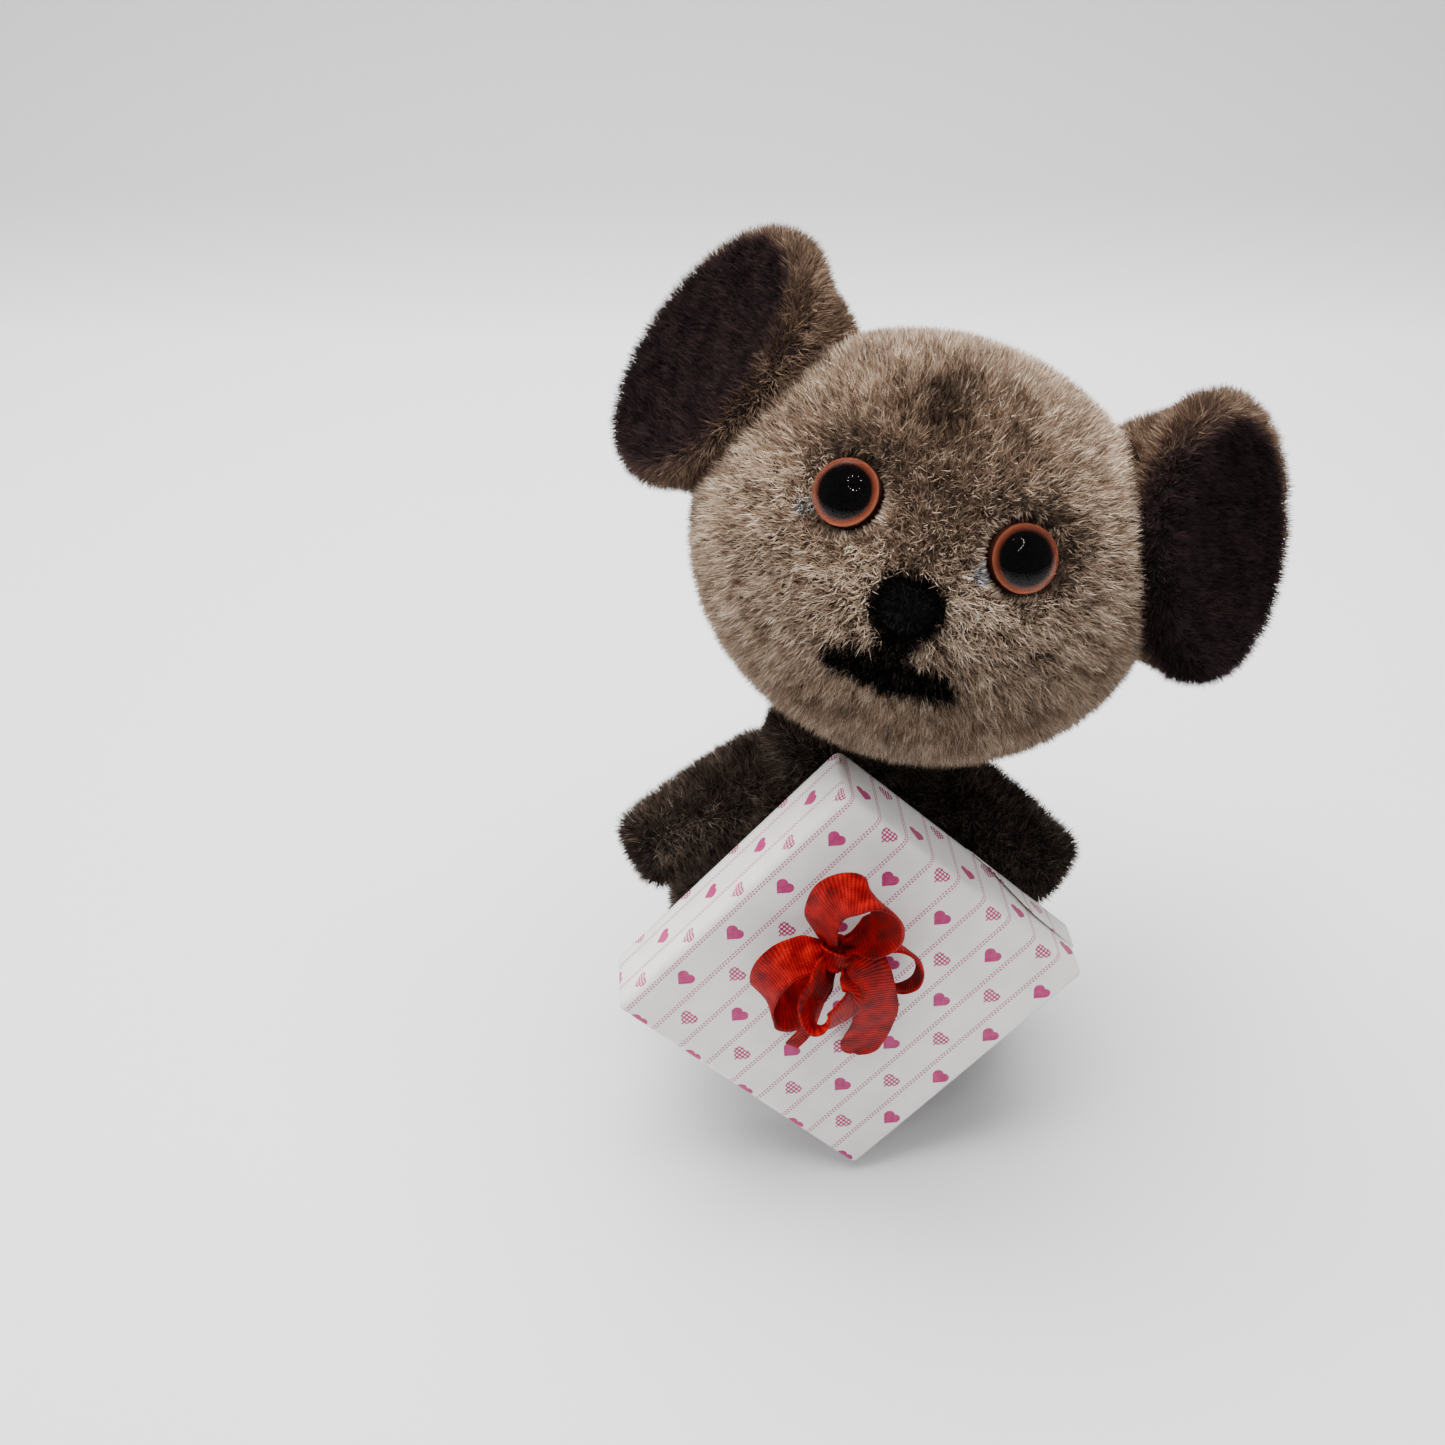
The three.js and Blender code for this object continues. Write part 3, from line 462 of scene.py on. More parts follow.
blotch_rng = np.random.default_rng(5)
blotch = noise_field(blotch_rng, 5.5)
clump = noise_field(blotch_rng, 1.1)
streak = noise_field(blotch_rng, 2.2)


def eye_distance(q):
    return np.min([np.linalg.norm(q - at, axis=1) for at, _ in EYES.values()], axis=0)


def head_shade(p, rng):
    q = inverse(HEAD, p)
    x, z = q[:, 0], q[:, 2]
    front = smooth_step((-q[:, 1] + 4) / 14)
    forehead = np.exp(-((x / 11.0) ** 2 + ((z - 12.5) / 8.5) ** 2)) * front
    between = np.exp(-((x / 4.5) ** 2 + ((z - 5.0) / 4.0) ** 2)) * front
    # the last term makes the fibres lighter towards the top of the head: painted light from above
    light = 0.55 - 0.19 * forehead - 0.12 * between + 0.08 * smooth_step((p[:, 2] - 66) / 18)
    light = light + 0.12 * np.exp(-((x / 9.0) ** 2 + ((z + 1.5) / 3.2) ** 2)) * front
    for at, _ in EYES.values():
        rel = q - at
        above = np.exp(-((rel[:, 0] / 4.4) ** 2 + ((rel[:, 2] - 4.0) / 2.0) ** 2)) * front
        light = light - 0.34 * above
    light = light - 0.25 * np.exp(-(((x + 3.0) / 3.0) ** 2 + ((z - 16) / 3.4) ** 2)) * front
    rel = q - EYES["left"][0]
    light = light - 0.42 * np.exp(-(((rel[:, 0] - 3.7) / 1.7) ** 2 + ((rel[:, 2] + 0.2) / 2.2) ** 2)) * front
    light = light + 0.14 * (blotch(q) - 0.5) + 0.34 * (clump(q) - 0.5) + 0.12 * (streak(q) - 0.5)
    light = light + rng.normal(0, 0.12, len(p))
    level = np.clip((light * BLACK_LEVEL).astype(int), 0, BLACK_LEVEL - 1)
    for at, _ in EYES.values():
        rel = q - at
        bare = np.hypot(rel[:, 0] + 3.3, (rel[:, 2] + 2.6) * 1.1) < 1.1
        level[bare & (rng.random(len(p)) < 0.5) & (q[:, 1] < 0)] = GLUE_LEVEL
    soft_edge = mouth_mask(q + rng.normal(0, 0.25, q.shape))
    level[soft_edge] = BLACK_LEVEL
    nose_edge = np.linalg.norm((q - NOSE_AT) * np.array([1, 0.7, 1]), axis=1) < 3.6
    level[nose_edge] = BLACK_LEVEL
    return level


def head_keep(p, n):
    q = inverse(HEAD, p)
    inside = np.zeros(len(q), bool)
    for at, _ in EYES.values():
        inside |= np.linalg.norm(q - at, axis=1) < EYE_RADIUS + 0.15
    outward = np.einsum("ij,ij->i", q, inverse(SWAY @ turn("X", HEAD_TILT), n)) > 0
    return ~inside & outward


CHIN_RUB = np.array([-4.0, -1.6, -21.3])


def head_length(p):
    """Short round the eyes, and rubbed short where the chin passes the box's top corner."""
    q = inverse(HEAD, p)
    near_eye = smooth_step((eye_distance(q) - EYE_RADIUS) / 3.5)
    rubbed = np.exp(-(np.linalg.norm(q - CHIN_RUB, axis=1) / 3.4) ** 4)
    return (0.75 + 1.0 * near_eye) * (1 - 0.64 * rubbed)


flock("head_flock", evaluated(head), 30 * DENSITY, head_length, 0.15, head_shade, TAN,
      "head", 11, jitter=0.42, keep=head_keep, parts=2)

# nose: a flocked ball
NOSE_COLUMNS, NOSE_ROWS = 48, 32
nose_grid = sphere_grid(NOSE_COLUMNS, NOSE_ROWS)
folds = 1 + 0.03 * np.sin(nose_grid[:, 0] * 5 + 1) * np.cos(nose_grid[:, 2] * 4)
nose_points = nose_grid * folds[:, None] * np.array([2.75, 2.5, 2.55]) + NOSE_AT
nose_faces = [f[::-1] for f in grid_faces(NOSE_ROWS, NOSE_COLUMNS)]
nose = make_object("nose_ball", nose_points, nose_faces, "head", [black_skin_look],
                   PLACE @ HEAD)
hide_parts("nose")


def nose_shade(p, rng):
    return (rng.random(len(p)) < 0.25).astype(int)


flock("nose_flock", evaluated(nose), 45 * DENSITY, 0.75, 0.14, nose_shade, BLACK, "head", 12,
      jitter=0.4)


# ---------------------------------------------------------------- ears
def ear_profile():
    """A disc with a rounded rim and a dished front, from its back's middle round to its front's middle."""
    flat, rim, dish = 12.2, 2.5, 1.3
    back = [(r, -rim) for r in np.linspace(0, flat * 0.7, 8)]
    sweep = np.linspace(math.radians(-90), math.radians(75), 18)
    edge = [(flat + rim * math.cos(t), rim * math.sin(t)) for t in sweep]
    front = [(flat * s, rim - dish + dish * 0.97 * s ** 2.2) for s in np.linspace(0.94, 0, 14)]
    return back + edge + front


EAR_SIDES = 72


def ear_root(centre, look, ear_frame):
    """The thick root: rings from the disc's back to a smaller one inside the head, closed at both ends."""
    sides, steps, bow_out = EAR_SIDES, 12, 0.5
    start, _ = lathe([(13.2, -1.6)], sides, ear_frame)
    end, _ = lathe([(11.2, 0.0)], sides, facing(centre * 0.70, centre))
    # turn the far ring so that its points run the same way as the near ring's, from the nearest one
    first = int(np.argmin(np.linalg.norm(end - start[0], axis=1)))
    eighth = np.argmin(np.linalg.norm(end - start[sides // 8], axis=1))
    step = 1 if ((eighth - first) % sides) < sides / 2 else -1
    end = end[[(first + step * k) % sides for k in range(sides)]]
    rings = [start + (end - start) * (k / steps) - look * bow_out * math.sin(math.pi * k / steps)
             for k in range(steps + 1)]
    points = np.concatenate([start.mean(0)[None], *rings, end.mean(0)[None]])
    faces = [tuple(i + 1 for i in f) for f in grid_faces(steps + 1, sides)]
    faces += [(0, 1 + (k + 1) % sides, 1 + k) for k in range(sides)]
    last = len(points) - 1
    faces += [(last, last - sides + k, last - sides + (k + 1) % sides) for k in range(sides)]
    return points, faces


def outside_head(p, n):
    q = inverse(HEAD, p)
    return np.sqrt((q[:, 0] / RX) ** 2 + (q[:, 1] / RY) ** 2 + (q[:, 2] / RZ) ** 2) > 0.995


def ear_shade(frame_matrix, middle, reach):
    def shade(p, rng):
        q = inverse(frame_matrix, p)
        r = np.linalg.norm(inverse(HEAD, p) - middle, axis=1)
        inner = smooth_step((q[:, 2] + 1.6) / 1.8) * (1 - smooth_step((r - reach) / 1.8))
        light = 0.36 + 0.20 * (clump(q) - 0.5) + 0.16 * (blotch(q) - 0.5) + rng.normal(0, 0.10, len(p))
        back = 0.72 + 0.30 * (clump(q) - 0.5) + 0.16 * (blotch(q) - 0.5) + rng.normal(0, 0.14, len(p))
        value = inner * light * 2.8 + (1 - inner) * (1.2 + back * 3.6)
        return np.clip(value.astype(int), 0, 4)
    return shade


for word, side in SIDES:
    centre = np.array([side * 27.7, 2.9, 11.2])
    out, up = math.radians(57.5), math.radians(17)
    look = np.array([side * math.sin(out) * math.cos(up), -math.cos(out) * math.cos(up), math.sin(up)])
    ear_frame = facing(centre, look)
    disc, disc_faces = lathe(ear_profile(), EAR_SIDES, ear_frame)
    root, root_faces = ear_root(centre, look, ear_frame)
    points = np.concatenate([disc, root])
    all_faces = list(disc_faces) + [tuple(i + len(disc) for i in f) for f in root_faces]
    ear = make_object(f"{word}_ear_skin", points, all_faces, "head", [ear_skin_look],
                      PLACE @ HEAD)
    modifier(ear, "REMESH", mode="VOXEL", voxel_size=0.55 * MM, use_smooth_shade=True)
    modifier(ear, "SMOOTH", factor=0.8, iterations=7)
    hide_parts(f"{word}_ear")
    world_frame = HEAD @ ear_frame

    def ear_length(p, world_frame=world_frame):
        q = inverse(world_frame, p)
        r = np.hypot(q[:, 0], q[:, 1])
        inner = smooth_step((q[:, 2] - 0.2) / 1.4) * (1 - smooth_step((r - 12.0) / 1.6))
        return 1.65 - 0.55 * inner

    # the dark patch sits lower and further in on the mouse's left ear, and is a little larger there
    shift, reach = (1.6, 13.6) if side > 0 else (0.3, 12.6)
    middle = centre + look * 1.5 + np.array([-1.4, 0, -1.6]) * shift
    shade = ear_shade(world_frame, middle, reach)
    flock(f"{word}_ear_flock", evaluated(ear), 36 * DENSITY, ear_length, 0.13, shade, EAR,
          "head", 21 + side, jitter=0.42, keep=outside_head)

# ---------------------------------------------------------------- eyes
DOME_IOR = 1.26
glass_look = principled("eye_dome_glass", (1, 1, 1, 1), Roughness=0.0, Transmission_Weight=1.0,
                        IOR=DOME_IOR)[0]


def iris_look():
    mat, tree, shader = principled("eye_iris_paint", srgb(110, 50, 32), Roughness=0.6, Specular_IOR_Level=0.0)
    uv, _, radius = uv_parts(tree)
    fleck = noise(tree, uv, 9.0, 3)
    edge = math_node(tree, "MULTIPLY_ADD", fleck, 0.05, -0.025)
    at = math_node(tree, "ADD", radius, edge)
    colour = ramp(tree, at, (0.0, srgb(2, 1, 1)), (0.68, srgb(4, 3, 3)), (0.72, srgb(48, 20, 14)),
                  (0.82, srgb(104, 50, 33)), (0.92, srgb(140, 80, 58)), (0.97, srgb(44, 21, 17)))
    tree.links.new(colour, shader.inputs["Base Color"])
    return mat


iris_paint = iris_look()
EYE_SIDES = 64
DISC_HEIGHT, DISC_RINGS = 0.35, 24
DOME_HEIGHT = 2.3
CUP_WALL = [(3.42, 0.3), (3.46, -0.3), (3.3, -1.5), (1.2, -1.6), (1.0, -1.75), (0, -1.75)]
radii = np.linspace(0, EYE_RADIUS, DISC_RINGS)
for word, (at, direction) in EYES.items():
    eye_frame = facing(at, direction)
    arc = [(EYE_RADIUS * math.cos(t), DISC_HEIGHT + DOME_HEIGHT * math.sin(t))
           for t in np.linspace(0, math.pi / 2, 22)]
    dome, dome_faces = lathe(arc, EYE_SIDES, eye_frame)
    glass = make_object(f"{word}_eye_dome", dome, dome_faces, "head", [glass_look], PLACE @ HEAD)
    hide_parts(f"{word}_eye_glass")
    cup, cup_faces = lathe([(r, DISC_HEIGHT) for r in radii] + CUP_WALL, EYE_SIDES, eye_frame)
    # U runs round the eye, and V is the share of the disc's radius, held just under 1 on the cup's wall
    uvs = []
    for f in cup_faces:
        for i in f:
            row, column = divmod(i, EYE_SIDES)
            uvs.append((column / EYE_SIDES, min(radii[row] / EYE_RADIUS, 0.99) if row < DISC_RINGS else 0.99))
    disc = make_object(f"{word}_eye_cup", cup, cup_faces, "head", [iris_paint],
                       PLACE @ HEAD, uvs=uvs)
    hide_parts(f"{word}_eye_iris")

# ---------------------------------------------------------------- body
# (height, half width). The body is BODY_DEPTH times as deep as wide, and leans forward by BODY_LEAN of its
# height.
PROFILE = np.array([
    (3, 16.5), (8, 19.2), (14, 20.2), (22, 20.4), (28, 19.4), (34, 16.6), (39, 13.0), (42.5, 10.2), (45, 9.4),
    (48.4, 8.8)])
BODY_LOW, BODY_TOP = PROFILE[0, 0], PROFILE[-1, 0]
BODY_DEPTH = 0.78
BODY_LEAN = 0.12
BODY_ROWS, BODY_COLUMNS = 90, 144
KEY_HEIGHT = 23.5


def body_radius(x):
    """The body's half width at the heights x, on a smooth curve through PROFILE."""
    xs, ys = PROFILE.T
    slopes = np.gradient(ys, xs)
    i = np.clip(np.searchsorted(xs, x) - 1, 0, len(xs) - 2)
    h = xs[i + 1] - xs[i]
    t = (x - xs[i]) / h
    a = (2 * t ** 3 - 3 * t ** 2 + 1) * ys[i] + (t ** 3 - 2 * t ** 2 + t) * h * slopes[i]
    return a + (-2 * t ** 3 + 3 * t ** 2) * ys[i + 1] + (t ** 3 - t ** 2) * h * slopes[i + 1]


def body_reach(p):
    """How far out the points are and where the body's surface is, both as half widths."""
    height = np.clip(p[:, 2], BODY_LOW, BODY_TOP)
    return np.hypot(p[:, 0], (p[:, 1] + BODY_LEAN * p[:, 2]) / BODY_DEPTH), body_radius(height)


heights = np.linspace(BODY_LOW, BODY_TOP, BODY_ROWS)
angle = np.linspace(0, 2 * math.pi, BODY_COLUMNS, endpoint=False)
z, t = np.meshgrid(heights, angle, indexing="ij")
r = np.repeat(body_radius(heights)[:, None], BODY_COLUMNS, axis=1)
body_points = np.stack([r * np.cos(t), r * BODY_DEPTH * np.sin(t) - BODY_LEAN * z, z], -1).reshape(-1, 3)
faces = grid_faces(BODY_ROWS, BODY_COLUMNS)
centres = body_points[np.array(faces)].mean(1)
key_hole = (np.hypot(centres[:, 0], centres[:, 2] - KEY_HEIGHT) < 3.0) & (centres[:, 1] > 0)
faces = [f for f, hole in zip(faces, key_hole) if not hole]
body = make_object("body_skin", body_points, faces, "body", [body_skin_look])
modifier(body, "SOLIDIFY", thickness=SKIN_THICKNESS * MM, offset=-1.0)
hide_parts("body_front_shell", "body_back_shell")


def body_shade(p, rng):
    light = 0.42 + 0.22 * (blotch(p) - 0.5) + 0.34 * (clump(p) - 0.5) + rng.normal(0, 0.15, len(p))
    light = light - 0.10 * smooth_step((np.abs(p[:, 0]) - 17) / 6) * (p[:, 1] < -6)
    return np.clip((light * 4).astype(int), 0, 3)


def body_keep(p, n):
    near_key = (np.hypot(p[:, 0], p[:, 2] - KEY_HEIGHT) < 4.5) & (p[:, 1] > 0)
    middle = -BODY_LEAN * p[:, 2]
    outward = n[:, 0] * p[:, 0] + n[:, 1] * (p[:, 1] - middle) > 0
    rim = p[:, 2] > BODY_TOP - 0.4
    return ~near_key & (outward | rim) & (p[:, 2] > BODY_LOW + 0.2)


def neck_comb(p, n):
    """Lifts the fibres round the neck hole, so that they stand as a collar."""
    up = smooth_step((p[:, 2] - 44) / 4)
    lift = np.zeros_like(p)
    lift[:, 2] = 1.3 * up - 0.15
    return lift


flock("body_flock", evaluated(body), 27 * DENSITY, 1.75, 0.15, body_shade, DARK,
      "body", 31, jitter=0.46, keep=body_keep, comb=neck_comb)


# arms: tapered stubs with soft flat ends
def limb_profile(long):
    edge, turn_in = 4.0, 1.7
    start = long - 1.8
    side = [(5.3, 0.0), (5.25, long * 0.25), (4.95, long * 0.5), (4.35, long * 0.78), (edge, start)]
    round_end = [(edge - turn_in * (1 - math.cos(t)), start + turn_in * math.sin(t))
                 for t in np.linspace(0.2, math.pi / 2, 8)]
    return side + round_end + [(r, long - 0.1) for r in np.linspace(2.2, 0, 5)]


def even_profile(profile, count):
    """The profile's line as count points, evenly spaced along it."""
    p = np.asarray(profile, float)
    s = np.concatenate([[0], np.cumsum(np.linalg.norm(np.diff(p, axis=0), axis=1))])
    at = np.linspace(0, s[-1], count)
    return np.column_stack([np.interp(at, s, p[:, 0]), np.interp(at, s, p[:, 1])])


def out_of_body(p, n):
    reach, surface = body_reach(p)
    return reach > surface + 0.1


ARMS = {
    "right": ((-8.5, -4.5, 38.5), (-24.8, -13, 33.8), 41),
    "left": ((8.5, -4.5, 38.0), (23.8, -13, 30.6), 42),
}
for word, (shoulder, hand, seed) in ARMS.items():
    along = Vector(hand) - Vector(shoulder)
    arm_frame = facing(shoulder, along)
    pts, arm_faces = lathe(even_profile(limb_profile(along.length), 60), 56, arm_frame)
    arm = make_object(f"{word}_arm_skin", pts, arm_faces, "body", [body_skin_look])
    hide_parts(f"{word}_arm")

    def arm_shade(p, rng, arm_frame=arm_frame, long=along.length):
        q = inverse(arm_frame, p)
        end = smooth_step((q[:, 2] - long + 2.4) / 2.0)
        light = 0.42 - 0.22 * end + 0.22 * (blotch(p) - 0.5) + 0.30 * (clump(p) - 0.5)
        light = light + rng.normal(0, 0.14, len(p))
        return np.clip((light * 4).astype(int), 0, 3)

    flock(f"{word}_arm_flock", evaluated(arm), 30 * DENSITY, 1.7, 0.15, arm_shade, DARK,
          "body", seed, jitter=0.46, keep=out_of_body)


# feet: rounded pads with flat soles
def foot_keep(p, n):
    reach, surface = body_reach(p)
    inside = (reach < surface) & (p[:, 2] > BODY_LOW - 0.1)
    return ~inside & (p[:, 2] > 0.35)


FOOT_SIZE = np.array([8.2, 12.0, 8.4])
FOOT_COLUMNS, FOOT_ROWS = 72, 44
for word, side in SIDES:
    foot_x = side * 10.0
    pts = sphere_grid(FOOT_COLUMNS, FOOT_ROWS) * FOOT_SIZE + np.array([foot_x, -3.6, 1.2])
    toes = 0.35 * np.cos((pts[:, 0] - foot_x) * 1.35) * smooth_step((-pts[:, 1] - 6) / 8) * (pts[:, 2] > 0.5)
    pts[:, 1] -= toes
    pts[:, 2] = np.where(pts[:, 2] < 0, 0.0, pts[:, 2])
    foot_faces = [f[::-1] for f in grid_faces(FOOT_ROWS, FOOT_COLUMNS)]
    foot = make_object(f"{word}_foot_skin", pts, foot_faces, "body", [body_skin_look])
    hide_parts(f"{word}_foot")
    flock(f"{word}_foot_flock", evaluated(foot), 26 * DENSITY, 1.6, 0.15, body_shade, DARK,
          "body", 51 + side, jitter=0.42, keep=foot_keep)


# ---------------------------------------------------------------- gift box
def heart_paper():
    mat, tree, shader = principled("heart_paper", srgb(232, 229, 225), Roughness=0.62, Sheen_Weight=0.05)
    _, u, v = uv_parts(tree)
    pitch = 8.0

    def cell(value, shift):
        return math_node(tree, "WRAP", math_node(tree, "SUBTRACT", value, shift), pitch / 2, -pitch / 2)

    def heart(x, y):
        """A square on its corner with a half disc on each upper side, and the square's own two axes."""
        side, lift = 1.26, 0.16
        along = math_node(tree, "MULTIPLY", math_node(tree, "ADD", x, y), math.sqrt(0.5))
        across = math_node(tree, "MULTIPLY", math_node(tree, "SUBTRACT", y, x), math.sqrt(0.5))
        a = math_node(tree, "ADD", along, lift)
        b = math_node(tree, "ADD", across, lift)
        far = math_node(tree, "MAXIMUM", math_node(tree, "ABSOLUTE", a), math_node(tree, "ABSOLUTE", b))
        shape = math_node(tree, "LESS_THAN", far, side / 2)
        for p, q in ((a, b), (b, a)):
            p = math_node(tree, "SUBTRACT", p, side / 2)
            r = math_node(tree, "ADD", math_node(tree, "MULTIPLY", p, p), math_node(tree, "MULTIPLY", q, q))
            shape = math_node(tree, "MAXIMUM", shape, math_node(tree, "LESS_THAN", r, side * side / 4))
        return shape, along, across

    solid = heart(cell(u, -15.5), cell(v, -18.36))[0]
    outline, along, across = heart(cell(u, -11.5), cell(v, -14.36))
    check = 0.30
    waves = [math_node(tree, "SINE", math_node(tree, "MULTIPLY", w, math.pi / check))
             for w in (along, across)]
    checks = math_node(tree, "GREATER_THAN", math_node(tree, "MULTIPLY", *waves), -0.25)
    checked = math_node(tree, "MULTIPLY", outline, checks)

    def dotted(shift, phase):
        """Rows of dots running along V, two rows to each pitch of the hearts."""
        half_width, dot_pitch = 0.1, 0.42
        x = math_node(tree, "WRAP", math_node(tree, "SUBTRACT", u, shift), pitch / 4, -pitch / 4)
        line = math_node(tree, "LESS_THAN", math_node(tree, "ABSOLUTE", x), half_width)
        beat = math_node(tree, "SINE", math_node(tree, "MULTIPLY_ADD", v, 2 * math.pi / dot_pitch, phase))
        return math_node(tree, "MULTIPLY", line, math_node(tree, "GREATER_THAN", beat, -0.3))

    lines = math_node(tree, "MAXIMUM", dotted(-13.66, 0.0), dotted(-13.36, 2.2))
    at = object_coordinates(tree)
    cloud = noise(tree, at, 260, 3)
    white = ramp(tree, cloud, (0.3, srgb(226, 223, 220)), (0.7, srgb(238, 235, 231)))
    ink_cloud = noise(tree, at, 1500, 2)
    ink = ramp(tree, ink_cloud, (0.3, srgb(158, 26, 92)), (0.7, srgb(182, 46, 112)))
    pink = blend_color(tree, 0.08, srgb(176, 58, 114), white)
    colour = blend_color(tree, lines, white, pink)
    colour = blend_color(tree, math_node(tree, "MAXIMUM", solid, checked), colour, ink)
    tree.links.new(colour, shader.inputs["Base Color"])
    grain = noise(tree, at, 2600, 4, 0.65)
    creases = noise(tree, at, 190, 2)
    height = math_node(tree, "MULTIPLY_ADD", creases, 3.0, grain)
    bump(tree, shader, height, 0.30, 0.00006)
    return mat


paper_look = heart_paper()
card_look, card_tree, card_shader = principled("card_inside", srgb(186, 176, 160), Roughness=0.9)
card_fleck = noise(card_tree, object_coordinates(card_tree), 2200, 3)
card_color = ramp(card_tree, card_fleck, (0.35, srgb(172, 162, 146)), (0.7, srgb(200, 191, 176)))
card_tree.links.new(card_color, card_shader.inputs["Base Color"])


def tray(name, side, floor, mouth, radius, thickness, bulge, body_name, node_name):
    """A wrapped card tray in the box's square frame: its floor across Y and its walls towards the mouth.

    It is a square grid bent up at its edges, which are rounded. line holds each row's distance from the middle
    and its depth. The grid's corners, where two walls would overlap, are left out. The print runs on over the
    edges.
    """
    h = side / 2
    inner = h - radius
    sign = math.copysign(1, mouth - floor)
    depth = abs(mouth - floor)
    arc_steps = 7
    arc = np.linspace(0, math.pi / 2, arc_steps + 1)[1:]
    wall = np.linspace(radius, depth, 12)[1:]
    reach = [(inner + radius * math.sin(a), radius * (1 - math.cos(a))) for a in arc] + [(h, y) for y in wall]
    line = [(-x, y) for x, y in reversed(reach)] + [(x, 0.0) for x in np.linspace(-inner, inner, 41)] + reach
    count = len(line)
    pts, uv_of = [], []
    for xi, yi in line:
        for zj, yj in line:
            x, z = xi, zj
            y = max(yi, yj)
            outer_x = max(abs(xi) - inner, 0)
            outer_z = max(abs(zj) - inner, 0)
            if outer_x > 0 and outer_z > 0:
                # round the corner: keep the larger reach and pull both in along a circle
                limit = radius * math.sin(min(y / radius, 1) * math.pi / 2)
                scale = min(1.0, max(limit, max(outer_x, outer_z)) / math.hypot(outer_x, outer_z))
                x = math.copysign(inner + outer_x * scale, xi)
                z = math.copysign(inner + outer_z * scale, zj)
            swell = 0.0
            if y < 1e-6:
                swell = bulge * (1 - (min(abs(x), h) / h) ** 2) * (1 - (min(abs(z), h) / h) ** 2)
            pts.append((x, floor + sign * (y - swell), z))
            u = xi + math.copysign(yi, xi) if yi > 0 else xi
            v = zj + math.copysign(yj, zj) if yj > 0 else zj
            uv_of.append((u, v))
    wall_rows = len(wall)
    in_wall = [i < wall_rows or i >= count - 1 - wall_rows for i in range(count - 1)]
    faces, uvs = [], []
    for i in range(count - 1):
        for j in range(count - 1):
            if in_wall[i] and in_wall[j]:
                continue
            f = (i * count + j, (i + 1) * count + j, (i + 1) * count + j + 1, i * count + j + 1)
            if sign < 0:
                f = f[::-1]
            faces.append(f)
            uvs.extend(uv_of[k] for k in f)
    looks = [paper_look, card_look]
    obj = make_object(name, pts, faces, body_name, looks, PLACE @ SQUARE, uvs=uvs)
    modifier(obj, "SOLIDIFY", thickness=thickness * MM, offset=-1.0, material_offset=1, material_offset_rim=0)
    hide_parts(node_name)


LID_SIDE = 37.0
LID_MOUTH = 8.9
tray("gift_lid_wrap", LID_SIDE, 0.0, LID_MOUTH, 0.9, 0.5, 0.15, "lid", "gift_box_lid")
tray("gift_base_wrap", 35.3, 9.36, 0.95, 0.7, 0.5, 0.1, "body", "gift_box_base")


# the paper's loose fold on the lid's upper right side
def fold():
    top, edge = LID_SIDE / 2, LID_MOUTH - 0.05
    pts, uv_of = [], []
    columns, rows = 30, 10
    for i in range(columns):
        s = i / (columns - 1)
        x = 1.5 + 16.6 * s
        front = 8.8 - 4.3 * smooth_step(s / 0.62) + 0.3 * smooth_step((s - 0.62) / 0.38)
        for j in range(rows):
            t = j / (rows - 1)
            y = edge + (front - edge) * t
            lift = 0.10 + 0.42 * math.sin(math.pi * min(s / 0.95, 1)) * t ** 1.5
            pts.append((x, y, top + lift))
            uv_of.append((x, top + y))
    faces = grid_faces(columns, rows, closed=False)
    uvs = [uv_of[k] for f in faces for k in f]
    obj = make_object("gift_lid_fold", pts, faces, "lid", [paper_look], PLACE @ SQUARE, uvs=uvs)
    modifier(obj, "SOLIDIFY", thickness=0.14 * MM, offset=-1.0)


fold()


# ---------------------------------------------------------------- bow
def ribbon_look():
    mat, tree, shader = principled("red_ribbon_weave", srgb(176, 6, 6), Roughness=0.6,
                                   Specular_IOR_Level=0.18)
    uv, u, v = uv_parts(tree)
    rib_pitch, thread_pitch = 0.36, 0.30
    wobbly = math_node(tree, "MULTIPLY_ADD", noise(tree, uv, 1.2, 3), 0.14, u)
    rib = math_node(tree, "SINE", math_node(tree, "MULTIPLY", wobbly, 2 * math.pi / rib_pitch))
    thread = math_node(tree, "SINE", math_node(tree, "MULTIPLY", v, 2 * math.pi / thread_pitch))
    weave = math_node(tree, "MULTIPLY_ADD", thread, 0.35, rib)
    patch = noise(tree, uv, 0.55, 3)
    shade = math_node(tree, "MULTIPLY_ADD", weave, 0.10, patch)
    colour = ramp(tree, shade, (0.25, srgb(70, 0, 4)), (0.5, srgb(124, 2, 5)), (0.78, srgb(178, 6, 5)))
    tree.links.new(colour, shader.inputs["Base Color"])
    bump(tree, shader, weave, 0.55, 0.00005)
    return mat


ribbon_material = ribbon_look()
